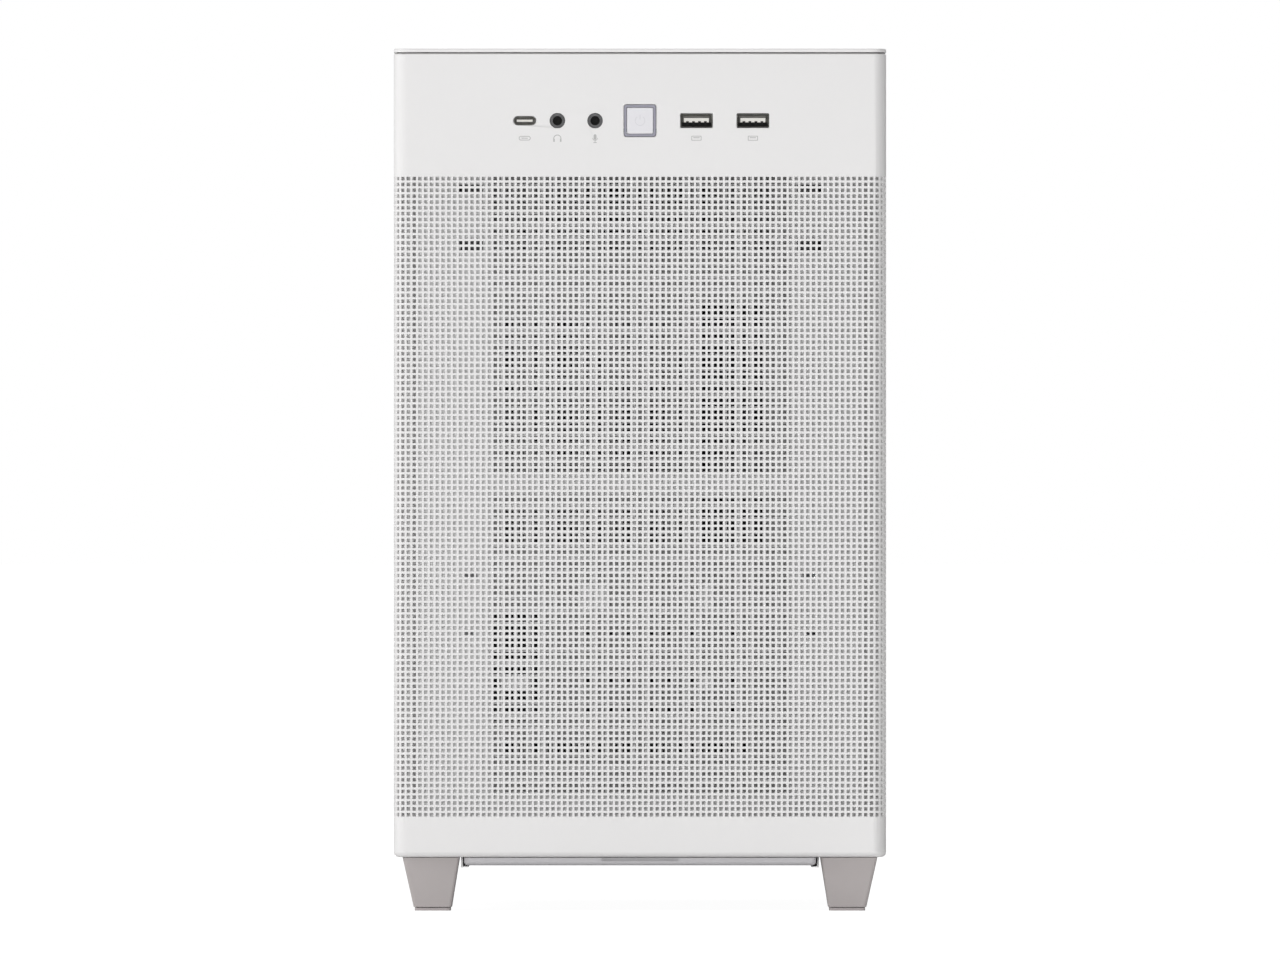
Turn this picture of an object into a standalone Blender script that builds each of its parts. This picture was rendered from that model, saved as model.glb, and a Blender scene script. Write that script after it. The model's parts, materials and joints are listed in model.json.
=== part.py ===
"""Micro-ATX desktop computer tower with perforated steel panels and its working parts inside.

Metres, +Z up. The front faces -Y and +X is on the right as seen from the front.
The origin is on the floor, under the middle of the tower.
"""

import math

import bmesh
import bpy
import numpy as np
from mathutils import Matrix, Vector

# Driving dimensions of the tower
WIDTH = 0.205
DEPTH = 0.460
HEIGHT = 0.359
BODY_BOTTOM = 0.0224
CORNER_RADIUS = 0.0054
SHEET = 0.0008
PANEL_SHEET = 0.0010
GAP = 0.0003

SIDE_X = WIDTH / 2
FRONT_Y = -DEPTH / 2
REAR_Y = DEPTH / 2

# Outer panels
TOP_THICKNESS = 0.0015
TOP_JOINT = 0.0005
PANEL_TOP = HEIGHT - TOP_THICKNESS - TOP_JOINT
FRONT_RETURN = 0.025
FRONT_LIP = 0.010
SIDE_FLANGE = 0.008
SIDE_EDGE_RADIUS = 0.0008

# Chassis
FRAME_X = SIDE_X - 0.009
INNER_X = FRAME_X - 0.0012
FRONT_WALL_Y = -0.2075
REAR_WALL_Y = 0.2245
WALL_BOTTOM = BODY_BOTTOM + SHEET + GAP
WALL_TOP = 0.3512
FLANGE_TOP = 0.3370
WALL_SLOTS = ((0.3009, 0.0100, 0.0034), (0.2776, 0.0100, 0.0050), (0.1396, 0.0055, 0.0030))
TRAY_X = 0.0827
TRAY_FRONT_Y = -0.110

# Front ports, all centred on one line below the top edge
PORT_Z = HEIGHT - 0.030
USB_C_X = -0.0480
HEADPHONE_X = -0.0344
MICROPHONE_X = -0.0187
USB_A_X = (0.0235, 0.0470)
USB_A_SIZE = (0.0131, 0.0057)
USB_C_SIZE = (0.0091, 0.0034)
JACK_RADIUS = 0.0030
JACK_BORE = 0.0020
BUTTON_SIZE = 0.0132
RING_WIDTH = 0.0014
BUTTON_TRAVEL = 0.0012
PORT_CLEARANCE = 0.00025
BOARD_TOP = PORT_Z - 0.0032

# Feet and dust filter
FOOT_TOP_X = (0.0751, 0.0989)
FOOT_BOTTOM_X = (0.0784, 0.0943)
FOOT_TOP_Y = (0.180, 0.223)
FOOT_BOTTOM_Y = (0.185, 0.219)
REAR_FOOT_SHIFT = 0.0023
PAD_HEIGHT = 0.0012
FILTER_X = 0.0733
FILTER_Y = (-0.2265, 0.1035)
FILTER_Z = (0.0189, 0.0221)

# Motherboard, mounted upright with its parts towards -X
BOARD_SIZE = 0.244
BOARD_X = 0.0748
BOARD_THICKNESS = 0.0016
BOARD_Y0 = -0.0215
BOARD_Z0 = 0.0895
SOCKET_Y = 0.115
SOCKET_Z = 0.262
MEMORY_Y = (0.040, 0.058)
MEMORY_Z = (0.192, 0.330)

# Rear wall
REAR_FAN_X = -0.0325
REAR_FAN_Z = 0.265
FAN_SIZE = 0.120
FAN_DEPTH = 0.025
SHIELD_X = (0.0297, 0.07415)
SHIELD_Z = (0.1685, 0.3273)
SLOT_PITCH = 0.02032
SLOT_TOP_Z = 0.1570
SLOT_X = (-0.0430, 0.0660)
INLET_X = -0.055
INLET_Z = 0.052

# Power supply, standing behind the front wall with its fan to the front
SUPPLY_X = 0.075
SUPPLY_Y = (-0.2002, -0.1142)
SUPPLY_Z = (0.173, 0.313)
SUPPLY_FAN_Z = 0.243
SUPPLY_FAN_RADIUS = 0.0670
SUPPLY_FAN_SIZE = 0.134
SUPPLY_FAN_DEPTH = 0.024
SWITCH_X = 0.010
SWITCH_Y = -0.162
SWITCH_PIVOT_Z = 0.1765
PLUG_X = -0.0315

# Plate between the front wall and the power supply
SHROUD_X = 0.0645
SHROUD_Y = -0.2015
SHROUD_Z = (0.0440, 0.3165)

WHITE = (0.80, 0.79, 0.78)
WARM_GREY = (0.42, 0.39, 0.38)
LAVENDER_GREY = (0.40, 0.39, 0.42)
STEEL = (0.62, 0.62, 0.63)
DARK = (0.03, 0.03, 0.035)
BLACK = (0.015, 0.015, 0.017)


def clear_scene():
    for ob in list(bpy.data.objects):
        bpy.data.objects.remove(ob, do_unlink=True)


def material(name, colour, roughness, metallic=0.0):
    mat = bpy.data.materials.new(name)
    mat.use_nodes = True
    shader = mat.node_tree.nodes["Principled BSDF"]
    shader.inputs["Base Color"].default_value = (*colour, 1.0)
    shader.inputs["Roughness"].default_value = roughness
    shader.inputs["Metallic"].default_value = metallic
    return mat


# Shapes. Each returns a mesh object that is still a blank: it has no material.


def blank(bm):
    bmesh.ops.recalc_face_normals(bm, faces=bm.faces)
    mesh = bpy.data.meshes.new("blank")
    bm.to_mesh(mesh)
    bm.free()
    ob = bpy.data.objects.new("blank", mesh)
    bpy.context.scene.collection.objects.link(ob)
    return ob


def box(low, high, bevel=0.0, segments=1):
    """A box between two corners, with all its edges bevelled when bevel is given."""
    bm = bmesh.new()
    size = Vector(high) - Vector(low)
    middle = (Vector(high) + Vector(low)) / 2
    bmesh.ops.create_cube(bm, size=1.0, matrix=Matrix.Translation(middle) @ Matrix.Diagonal((*size, 1.0)))
    if bevel:
        bmesh.ops.bevel(
            bm, geom=bm.edges[:], offset=bevel, segments=segments, affect="EDGES", clamp_overlap=True
        )
    return blank(bm)


def placed(u, v, w, axis):
    """A point from in-plane coordinates u, v and height w along the axis, keeping X, Y, Z order."""
    return {"X": (w, u, v), "Y": (u, w, v), "Z": (u, v, w)}[axis]


def prism(outline, axis, low, high, holes=()):
    """An outline in the two other axes, with holes, extruded from low to high along the axis."""
    bm = bmesh.new()
    ends = []
    for height in (low, high):
        loops = [[placed(u, v, height, axis) for u, v in loop] for loop in (outline, *holes)]
        ends.append([[bm.verts.new(point) for point in loop] for loop in loops])
    for loops in ends:
        edges = [bm.edges.new((loop[i - 1], loop[i])) for loop in loops for i in range(len(loop))]
        bmesh.ops.triangle_fill(bm, edges=edges, use_beauty=True, use_dissolve=False)
    for start, end in zip(*ends, strict=True):
        for i in range(len(start)):
            bm.faces.new((start[i - 1], start[i], end[i], end[i - 1]))
    return blank(bm)


def arc(centre, radius, start, end, steps):
    """Points along an arc, from the start angle to the end angle in degrees."""
    angles = np.radians(np.linspace(start, end, steps + 1))
    return [(centre[0] + radius * math.cos(a), centre[1] + radius * math.sin(a)) for a in angles]


def rectangle(u0, u1, v0, v1, radius=0.0, steps=4):
    """A rectangle's outline, with rounded corners when a radius is given."""
    if not radius:
        return [(u0, v0), (u1, v0), (u1, v1), (u0, v1)]
    corners = ((u1 - radius, v0 + radius, -90), (u1 - radius, v1 - radius, 0))
    corners += ((u0 + radius, v1 - radius, 90), (u0 + radius, v0 + radius, 180))
    return [p for u, v, start in corners for p in arc((u, v), radius, start, start + 90, steps)]


def centred(u, v, width, height, radius=0.0, steps=4):
    return rectangle(u - width / 2, u + width / 2, v - height / 2, v + height / 2, radius, steps)


def circle(u, v, radius, sides=32):
    return arc((u, v), radius, 0, 360 - 360 / sides, sides - 1)


def cylinder(axis, centre, radius, low, high, sides=32):
    return prism(circle(*centre, radius, sides), axis, low, high)


def loft(rings):
    """A closed solid through rings of points that all have the same count."""
    bm = bmesh.new()
    verts = [[bm.verts.new(point) for point in ring] for ring in rings]
    for lower, upper in zip(verts, verts[1:], strict=False):
        for i, vert in enumerate(lower):
            j = (i + 1) % len(lower)
            bm.faces.new((vert, lower[j], upper[j], upper[i]))
    bm.faces.new(verts[0])
    bm.faces.new(verts[-1])
    return blank(bm)


def curve_points(knots, steps):
    """Points of a Catmull-Rom curve through the knots."""
    knots = [np.array(k) for k in knots]
    ends = [2 * knots[0] - knots[1], *knots, 2 * knots[-1] - knots[-2]]
    points = []
    for p0, p1, p2, p3 in zip(ends, ends[1:], ends[2:], ends[3:], strict=False):
        for t in np.arange(steps) / steps:
            tangents = p2 - p0, 2 * p0 - 5 * p1 + 4 * p2 - p3, 3 * p1 - p0 - 3 * p2 + p3
            points.append(0.5 * (2 * p1 + tangents[0] * t + tangents[1] * t**2 + tangents[2] * t**3))
    return [*points, knots[-1]]


def tube(knots, radius, sides=10, steps=4):
    """A round cable along a smooth curve through the knots."""
    points = [Vector(p) for p in curve_points(knots, steps)]
    along = (points[1] - points[0]).normalized()
    across = along.orthogonal().normalized()
    rings = []
    for i, point in enumerate(points):
        ahead = points[min(i + 1, len(points) - 1)] - points[max(i - 1, 0)]
        turn = along.rotation_difference(ahead.normalized())
        along, across = ahead.normalized(), turn @ across
        other = along.cross(across)
        angles = [2 * math.pi * k / sides for k in range(sides)]
        rings.append([point + radius * (math.cos(a) * across + math.sin(a) * other) for a in angles])
    return loft(rings)


def combine(target, others, operation):
    """Joins the other blanks to the target, or cuts them from it, and removes them."""
    for other in others:
        modifier = target.modifiers.new("combine", "BOOLEAN")
        modifier.operation = operation
        modifier.object = other
    shape = target.evaluated_get(bpy.context.evaluated_depsgraph_get())
    mesh = bpy.data.meshes.new_from_object(shape)
    target.modifiers.clear()
    target.data = mesh
    for other in others:
        bpy.data.objects.remove(other, do_unlink=True)
    return target


def join(target, *others):
    return combine(target, others, "UNION")


def cut(target, *others):
    return combine(target, others, "DIFFERENCE")


def mirrored(ob, side):
    """The blank itself on the +1 side, and its mirror image in X on the -1 side."""
    if side < 0:
        ob.data.transform(Matrix.Diagonal((-1.0, 1.0, 1.0, 1.0)))
        ob.data.flip_normals()
    return ob


def part(name, ob, mat, smooth=False, pivot=None):
    """Makes a blank into the named sub-part, with its origin at the pivot."""
    ob.name = name
    ob.data.name = name
    ob.data.materials.clear()
    ob.data.materials.append(mat)
    if smooth:
        ob.data.shade_smooth()
        ob.data.set_sharp_from_angle(angle=math.radians(32))
    if pivot:
        ob.data.transform(Matrix.Translation(-Vector(pivot)))
        ob.location = pivot
    return ob


# Outer panels


def shell_outline(inset, rear):
    """The tower's outline in plan from the rear line round the curved front corners."""
    side = SIDE_X - inset
    radius = CORNER_RADIUS - inset
    middle = SIDE_X - CORNER_RADIUS, FRONT_Y + CORNER_RADIUS
    left = arc((-middle[0], middle[1]), radius, 180, 270, 6)
    right = arc(middle, radius, 270, 360, 6)
    return [(-side, rear), *left, *right, (side, rear)]


def front_panel(mat):
    """A folded pan: the face, two side returns, and lips along its top and bottom edges."""
    rear = FRONT_Y + FRONT_RETURN
    rounding = 0.0020
    levels = []
    for angle in np.radians((0, 30, 60, 90)):
        levels.append((BODY_BOTTOM + rounding * (1 - math.cos(angle)), rounding * (1 - math.sin(angle))))
    levels += [(PANEL_TOP - 0.0004, 0.0), (PANEL_TOP, 0.0004)]
    rings = [[(x, y, z) for x, y in shell_outline(inset, rear)] for z, inset in levels]
    panel = loft(rings)
    low, high = BODY_BOTTOM + PANEL_SHEET, PANEL_TOP - PANEL_SHEET
    hollow = prism(shell_outline(PANEL_SHEET, rear + 0.01), "Z", low, high)
    inner = SIDE_X - PANEL_SHEET
    below = box((-inner, FRONT_Y + FRONT_LIP, BODY_BOTTOM - 0.01), (inner, rear + 0.01, low + 0.001))
    above = box((-inner, FRONT_Y + FRONT_LIP, high - 0.001), (inner, rear + 0.01, PANEL_TOP + 0.01))
    panel = cut(panel, hollow)
    panel = cut(panel, below, above)
    part("front_panel", cut(panel, *port_cutters()), mat, smooth=True)


def port_cutters():
    """The openings in the front panel's top band."""
    ends = FRONT_Y - 0.005, FRONT_Y + 0.005
    around = 2 * PORT_CLEARANCE
    width, height = USB_A_SIZE[0] + around, USB_A_SIZE[1] + around
    outlines = [centred(x, PORT_Z, width, height, 0.0005, 2) for x in USB_A_X]
    width, height = USB_C_SIZE[0] + around, USB_C_SIZE[1] + around
    outlines.append(centred(USB_C_X, PORT_Z, width, height, height / 2 - 0.00001, 5))
    for x in (HEADPHONE_X, MICROPHONE_X):
        outlines.append(circle(x, PORT_Z, JACK_RADIUS + PORT_CLEARANCE, 24))
    outlines.append(centred(0.0, PORT_Z, BUTTON_SIZE + around, BUTTON_SIZE + around, 0.0012, 3))
    return [prism(outline, "Y", *ends) for outline in outlines]


def top_panel(mat):
    """The lid: a thin plate with curved front corners and four hooks that reach inside the rails."""
    rear = REAR_Y - 0.001
    levels = ((TOP_THICKNESS, 0.0), (0.0005, 0.0), (0.00015, 0.00015), (0.0, 0.0005))
    rings = []
    for below, inset in levels:
        rings.append([(x, y, HEIGHT - below) for x, y in shell_outline(inset, rear - inset)])
    lid = loft(rings)
    hooks = []
    for x in (-0.0784, 0.0784):
        for y in (-0.150, 0.150):
            hooks.append(box((x - 0.0004, y - 0.010, 0.3440), (x + 0.0004, y + 0.010, HEIGHT - 0.0008)))
    part("top_panel", join(lid, *hooks), mat)


def side_panel(name, side, mat):
    """A shallow pan with its four edges folded inwards."""
    low = (SIDE_X - SIDE_FLANGE, FRONT_Y + FRONT_RETURN + 0.0005, BODY_BOTTOM + GAP)
    high = (SIDE_X, REAR_Y, PANEL_TOP)
    levels = ((low[0], 0.0), (high[0] - SIDE_EDGE_RADIUS, 0.0), (high[0] - 0.0002, 0.0003), (high[0], 0.0008))
    outlines = []
    for x, inset in levels:
        rim = rectangle(low[1] + inset, high[1] - inset, low[2] + inset, high[2] - inset, 0.001 - inset, 2)
        outlines.append([(x, y, z) for y, z in rim])
    hollow = box(
        (low[0] - 0.01, low[1] + SHEET, low[2] + SHEET), (high[0] - SHEET, high[1] - SHEET, high[2] - SHEET)
    )
    part(name, mirrored(cut(loft(outlines), hollow), side), mat, smooth=True)


# Chassis


def upright_flanges(y0, y1):
    """The two folded side edges of the front or rear wall."""
    return [
        box((x - 0.0004, y0, WALL_BOTTOM + 0.0005), (x + 0.0004, y1, FLANGE_TOP))
        for x in (-FRAME_X + 0.00042, FRAME_X - 0.00042)
    ]


def chassis_floor(mat):
    """The floor sheet with folded sides, and the two rails and the stop that hold the dust filter."""
    y0, y1 = FRONT_WALL_Y, REAR_WALL_Y + SHEET
    floor = box((-FRAME_X, y0, BODY_BOTTOM), (FRAME_X, y1, BODY_BOTTOM + SHEET))
    folds = []
    for side in (-1, 1):
        edge = sorted((side * INNER_X, side * (INNER_X - SHEET)))
        folds.append(box((edge[0], y0 + 0.0015, BODY_BOTTOM + 0.0002), (edge[1], y1 - 0.0015, 0.040)))
        web = sorted((side * 0.0739, side * 0.0747))
        folds.append(box((web[0], -0.205, 0.0178), (web[1], 0.1061, BODY_BOTTOM + 0.0002)))
        lip = sorted((side * 0.0715, side * 0.0745))
        folds.append(box((lip[0], -0.2049, 0.0179), (lip[1], 0.1060, 0.0184)))
    folds.append(box((-0.0744, 0.1045, 0.0180), (0.0744, 0.1053, BODY_BOTTOM + 0.0002)))
    part("chassis_floor", join(floor, *folds), mat)


def chassis_front_wall(mat):
    """The inner wall behind the front panel, with mounting slots and two tabs under the port board."""
    slots = []
    for side in (-1, 1):
        for z, width, height in WALL_SLOTS:
            slots.append(centred(side * 0.0705, z, width, height))
        slots.append(centred(side * 0.0715, 0.1157, 0.0040, 0.0018))
    slots.append(rectangle(0.040, 0.062, 0.3265, 0.3350, 0.002, 2))
    outline = rectangle(-FRAME_X, FRAME_X, WALL_BOTTOM, WALL_TOP)
    wall = prism(outline, "Y", FRONT_WALL_Y, FRONT_WALL_Y + SHEET, slots)
    extras = upright_flanges(FRONT_WALL_Y + 0.0002, -0.195)
    for x in (-0.045, 0.045):
        top = BOARD_TOP - BOARD_THICKNESS - GAP
        extras.append(box((x - 0.005, -0.2205, top - SHEET), (x + 0.005, FRONT_WALL_Y + 0.0002, top)))
    part("chassis_front_wall", join(wall, *extras), mat)


def slot_opening(z):
    """A T-shaped expansion slot: the long opening, and the wider end where the cover's tab comes out."""
    x0, x1 = SLOT_X
    end, neck = x0 - 0.0013, x0 + 0.003
    half, tab = 0.0071, 0.0095
    corners = [(x1, z - half), (x1, z + half), (neck, z + half), (neck, z + tab)]
    return [*corners, (end, z + tab), (end, z - tab), (neck, z - tab), (neck, z - half)]


def slot_heights():
    return [SLOT_TOP_Z - i * SLOT_PITCH for i in range(4)]


def chassis_rear_wall(mat):
    """The rear wall with the port opening, four expansion slots and the mains inlet's opening."""
    holes = [rectangle(*SHIELD_X, *SHIELD_Z)]
    holes += [slot_opening(z) for z in slot_heights()]
    holes.append(centred(INLET_X, INLET_Z, 0.0278, 0.0204))
    outline = rectangle(-FRAME_X, FRAME_X, WALL_BOTTOM, WALL_TOP)
    wall = prism(outline, "Y", REAR_WALL_Y, REAR_WALL_Y + SHEET, holes)
    part("chassis_rear_wall", join(wall, *upright_flanges(0.2130, REAR_WALL_Y + 0.0006)), mat)


def standoff_places():
    """The nine fixing points of the motherboard, as Y and Z."""
    across = BOARD_Y0 + np.array((0.0070, 0.0820, 0.2270))
    upwards = BOARD_Z0 + np.array((0.0060, 0.1600, 0.2380))
    return [(float(y), float(z)) for y in across for z in upwards]


def motherboard_tray(mat):
    """The upright sheet behind the motherboard, with cable openings, folded edges and standoffs."""
    holes = [
        rectangle(-0.085, -0.055, 0.215, 0.275, 0.004, 3),
        rectangle(-0.085, -0.055, 0.095, 0.155, 0.004, 3),
        rectangle(0.060, 0.170, 0.212, 0.312, 0.006, 3),
        rectangle(0.120, 0.165, 0.3385, 0.3455, 0.002, 2),
        rectangle(-0.020, 0.030, 0.058, 0.076, 0.004, 3),
    ]
    outline = rectangle(TRAY_FRONT_Y, REAR_WALL_Y - 0.0005, 0.0240, 0.3500)
    tray = prism(outline, "X", TRAY_X, TRAY_X + SHEET, holes)
    outer = INNER_X - SHEET - GAP
    start = TRAY_X + 0.0002
    folds = [
        box((start, TRAY_FRONT_Y + 0.0001, 0.0420), (outer, TRAY_FRONT_Y + 0.0009, 0.3360)),
        box((start, TRAY_FRONT_Y + 0.003, 0.0241), (outer - 0.001, 0.221, 0.0249)),
        box((start, TRAY_FRONT_Y + 0.003, 0.3491), (outer - 0.001, 0.221, 0.3499)),
    ]
    board_back = BOARD_X + BOARD_THICKNESS
    for y, z in standoff_places():
        if not (0.060 < y < 0.170 and 0.212 < z < 0.312):
            folds.append(cylinder("X", (y, z), 0.003, board_back + GAP, TRAY_X + 0.0004, 8))
    part("motherboard_tray", join(tray, *folds), mat)


def top_rail(name, side, mat):
    """An angle between the front and rear walls, just under the lid."""
    y0, y1 = FRONT_WALL_Y + SHEET + 0.0005, REAR_WALL_Y - 0.0005
    edge, bottom = 0.0800, FLANGE_TOP + 0.0010
    corners = [(INNER_X, bottom), (INNER_X, WALL_TOP), (edge, WALL_TOP), (edge, WALL_TOP - SHEET)]
    corners += [(INNER_X - SHEET, WALL_TOP - SHEET), (INNER_X - SHEET, bottom)]
    part(name, mirrored(prism(corners, "Y", y0, y1), side), mat)


# Feet and dust filter


def foot(index, side, end, foot_mat, pad_mat):
    """A tapered foot under one corner, and the rubber pad that it stands on."""
    shift = REAR_FOOT_SHIFT if end > 0 else 0.0

    def section(across, along, inset, radius, steps):
        xs = sorted((side * (across[0] + shift + inset), side * (across[1] + shift - inset)))
        ys = sorted((end * (along[0] + inset), end * (along[1] - inset)))
        return rectangle(*xs, *ys, radius, steps)

    rings = []
    levels = ((PAD_HEIGHT + GAP, FOOT_BOTTOM_X, FOOT_BOTTOM_Y), (BODY_BOTTOM - GAP, FOOT_TOP_X, FOOT_TOP_Y))
    for z, across, along in levels:
        rings.append([(x, y, z) for x, y in section(across, along, 0.0, 0.0012, 3)])
    part(f"foot_{index}", loft(rings), foot_mat, smooth=True)
    pad = prism(section(FOOT_BOTTOM_X, FOOT_BOTTOM_Y, 0.0005, 0.001, 2), "Z", 0.0, PAD_HEIGHT)
    part(f"foot_pad_{index}", pad, pad_mat)


def dust_filter(frame_mat, mesh_mat):
    """A shallow tray with a finger notch in its front edge, and the filter cloth on its bars."""
    x, (y0, y1), (z0, z1) = FILTER_X, FILTER_Y, FILTER_Z
    window = (-x + 0.006, x - 0.006, y0 + 0.0265, y1 - 0.006)
    rings = []
    for z, inset in ((z0, 0.0014), (z0 + 0.0004, 0.0005), (z0 + 0.0012, 0.0), (z1, 0.0)):
        rim = rectangle(-x + inset, x - inset, y0 + inset, y1 - inset, 0.0016 - inset, 3)
        rings.append([(u, v, z) for u, v in rim])
    frame = cut(loft(rings), prism(rectangle(*window), "Z", z0 - 0.001, z1 + 0.001))
    middle = (window[2] + window[3]) / 2
    bars = [box((-0.002, window[2] - 0.001, z0 + 0.0001), (0.002, window[3] + 0.001, z0 + 0.0010))]
    for y in (middle - 0.075, middle, middle + 0.075):
        ends = (window[0] - 0.001, y - 0.0015, z0 + 0.0002), (window[1] + 0.001, y + 0.0015, z0 + 0.0009)
        bars.append(box(*ends))
    frame = join(frame, *bars)
    notch = box((-0.016, y0 - 0.001, z1 - 0.0014), (0.016, y0 + 0.004, z1 + 0.001))
    part("dust_filter_frame", cut(frame, notch), frame_mat)
    sheet = (window[0] + GAP, window[1] - GAP, window[2] + GAP, window[3] - GAP)
    part("dust_filter_mesh", prism(rectangle(*sheet), "Z", z0 + 0.0013, z0 + 0.0018), mesh_mat)


# Front ports and power button


def usb_a_port(name, x, mat):
    """A metal shell with a tongue in the upper half of its mouth."""
    width, height = USB_A_SIZE
    y0, y1 = FRONT_Y + 0.0006, FRONT_Y + 0.0145
    shell = prism(centred(x, PORT_Z, width, height, 0.0004, 2), "Y", y0, y1)
    mouth = box((x - 0.00625, y0 - 0.001, PORT_Z - 0.00255), (x + 0.00625, y1 - 0.003, PORT_Z + 0.00255))
    tongue = box((x - 0.0055, y0 + 0.0008, PORT_Z + 0.0002), (x + 0.0055, y1 - 0.002, PORT_Z + 0.0020))
    part(name, join(cut(shell, mouth), tongue), mat)


def usb_c_port(mat):
    """A round-ended metal shell on a low base, with a thin tongue in the middle."""
    width, height = USB_C_SIZE
    y0, y1 = FRONT_Y + 0.0005, FRONT_Y + 0.0115
    shell = prism(centred(USB_C_X, PORT_Z, width, height, height / 2 - 0.00001, 6), "Y", y0, y1)
    inner = height - 0.0008
    ends = y0 - 0.001, y1 - 0.003
    mouth = prism(centred(USB_C_X, PORT_Z, width - 0.0008, inner, inner / 2 - 0.00001, 6), "Y", *ends)
    half, thin = 0.0033, 0.00035
    tongue = box((USB_C_X - half, y0 + 0.0006, PORT_Z - thin), (USB_C_X + half, y1 - 0.002, PORT_Z + thin))
    foot_end = (USB_C_X + 0.004, y1 - 0.0005, PORT_Z - 0.0012)
    base = box((USB_C_X - 0.004, FRONT_Y + 0.0085, BOARD_TOP + GAP), foot_end)
    part("usb_c_port", join(cut(shell, mouth), tongue, base), mat, smooth=True)


def audio_jack(name, x, mat):
    """A round barrel in front of a square housing, with one bore through most of it."""
    y0, y1 = FRONT_Y + 0.0004, FRONT_Y + 0.0165
    barrel = cylinder("Y", (x, PORT_Z), JACK_RADIUS, y0, FRONT_Y + 0.0100, 24)
    housing = box((x - 0.0034, FRONT_Y + 0.0085, BOARD_TOP + GAP), (x + 0.0034, y1, PORT_Z + 0.0031))
    bore = cylinder("Y", (x, PORT_Z), JACK_BORE, y0 - 0.001, y1 - 0.002, 16)
    part(name, cut(join(barrel, housing), bore), mat, smooth=True)


def front_io_board(mat):
    """The small circuit board that carries the front ports, with a cable header on it."""
    outline = rectangle(-0.0565, 0.0580, FRONT_Y + 0.0085, FRONT_WALL_Y - 0.0010)
    board = prism(outline, "Z", BOARD_TOP - BOARD_THICKNESS, BOARD_TOP)
    part("front_io_board", board, mat)


def power_button(ring_mat, button_mat, switch_mat):
    """The square ring in the panel, the cap that slides in it, and the switch that the cap presses."""
    half = BUTTON_SIZE / 2
    ring_y = FRONT_Y + 0.0001, FRONT_Y + 0.0065
    opening = BUTTON_SIZE - 2 * RING_WIDTH
    hole = centred(0.0, PORT_Z, opening, opening, 0.0006, 3)
    ring = prism(centred(0.0, PORT_Z, 2 * half, 2 * half, 0.0010, 4), "Y", *ring_y, [hole])
    part("power_button_ring", ring, ring_mat, smooth=True)
    face = opening - 2 * GAP
    rings = []
    for y, size in ((0.0002, face - 0.0004), (0.0005, face), (0.0055, face)):
        rim = centred(0.0, PORT_Z, size, size, 0.0005, 3)
        rings.append([(u, FRONT_Y + y, v) for u, v in rim])
    stem = box((-0.0015, FRONT_Y + 0.0050, PORT_Z - 0.0015), (0.0015, FRONT_Y + 0.0082, PORT_Z + 0.0015))
    part("power_button", join(loft(rings), stem), button_mat, smooth=True)
    switch_y = FRONT_Y + 0.0082 + BUTTON_TRAVEL + GAP
    switch = box((-0.0031, switch_y + 0.0012, BOARD_TOP + GAP), (0.0031, switch_y + 0.0050, PORT_Z + 0.0031))
    plunger = cylinder("Y", (0.0, PORT_Z), 0.0014, switch_y, switch_y + 0.002, 12)
    part("power_switch", join(switch, plunger), switch_mat)


# Fans


def fan_blades(hub, tip, length, count, sweep):
    """Twisted blades round +Z, each from inside the hub out to the tip radius, as one blank."""
    bm = bmesh.new()
    for k in range(count):
        start = 2 * math.pi * k / count
        sections = []
        for radius, pitch in ((hub - 0.002, 48.0), ((hub + tip) / 2, 36.0), (tip, 27.0)):
            reach = sweep * (radius - hub) / (tip - hub)
            chord = 2 * math.pi * radius / count * 0.80
            half = min(chord / 2, length / 2 / math.tan(math.radians(pitch)))
            rise = half * math.tan(math.radians(pitch))
            corners = []
            for across, up in ((-half, -rise), (half, rise)):
                angle = start + reach + across / radius
                for lift in (-0.0007, 0.0007):
                    height = max(-length / 2, min(length / 2, up + lift))
                    corners.append(bm.verts.new((radius * math.cos(angle), radius * math.sin(angle), height)))
            sections.append((corners[0], corners[2], corners[3], corners[1]))
        for inner, outer in zip(sections, sections[1:], strict=False):
            for i in range(4):
                j = (i + 1) % 4
                bm.faces.new((inner[i], inner[j], outer[j], outer[i]))
        bm.faces.new(sections[0])
        bm.faces.new(sections[-1])
    return blank(bm)


def turned(ob, axis, centre):
    """Turns a blank that was made round +Z onto the axis, and moves it to the centre."""
    turn, about = {"X": (90, "Y"), "Y": (-90, "X")}[axis]
    ob.data.transform(Matrix.Translation(Vector(centre)) @ Matrix.Rotation(math.radians(turn), 4, about))
    return ob


def fan_rotor(name, axis, centre, hub, tip, length, count, mat):
    """A hub with blades, turning about the axis through its centre."""
    body = cylinder("Z", (0.0, 0.0), hub, -length / 2, length / 2, 28)
    blades = fan_blades(hub, tip, length - 0.002, count, 0.35)
    rotor = turned(join(body, blades), axis, centre)
    part(name, rotor, mat, smooth=True, pivot=centre)


def fan_frame(name, axis, centre, size, depth, hub, strut_end, mat):
    """A square frame with a round duct, and four struts to a motor mount at one end."""
    duct = size / 2 - 0.0025
    bore = circle(0.0, 0.0, duct, 36)
    frame = prism(centred(0.0, 0.0, size, size, 0.004, 3), "Z", -depth / 2, depth / 2, [bore])
    ends = sorted((strut_end * depth / 2 * 0.998, strut_end * (depth / 2 - 0.0030)))
    extras = [cylinder("Z", (0.0, 0.0), hub, *ends, 24)]
    for k in range(4):
        strut = box((hub - 0.001, -0.0020, ends[0] + 0.0002), (duct + 0.001, 0.0020, ends[1] - 0.0002))
        strut.data.transform(Matrix.Rotation(math.radians(45 + 90 * k), 4, "Z"))
        extras.append(strut)
    part(name, turned(join(frame, *extras), axis, centre), mat, smooth=True)


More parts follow.
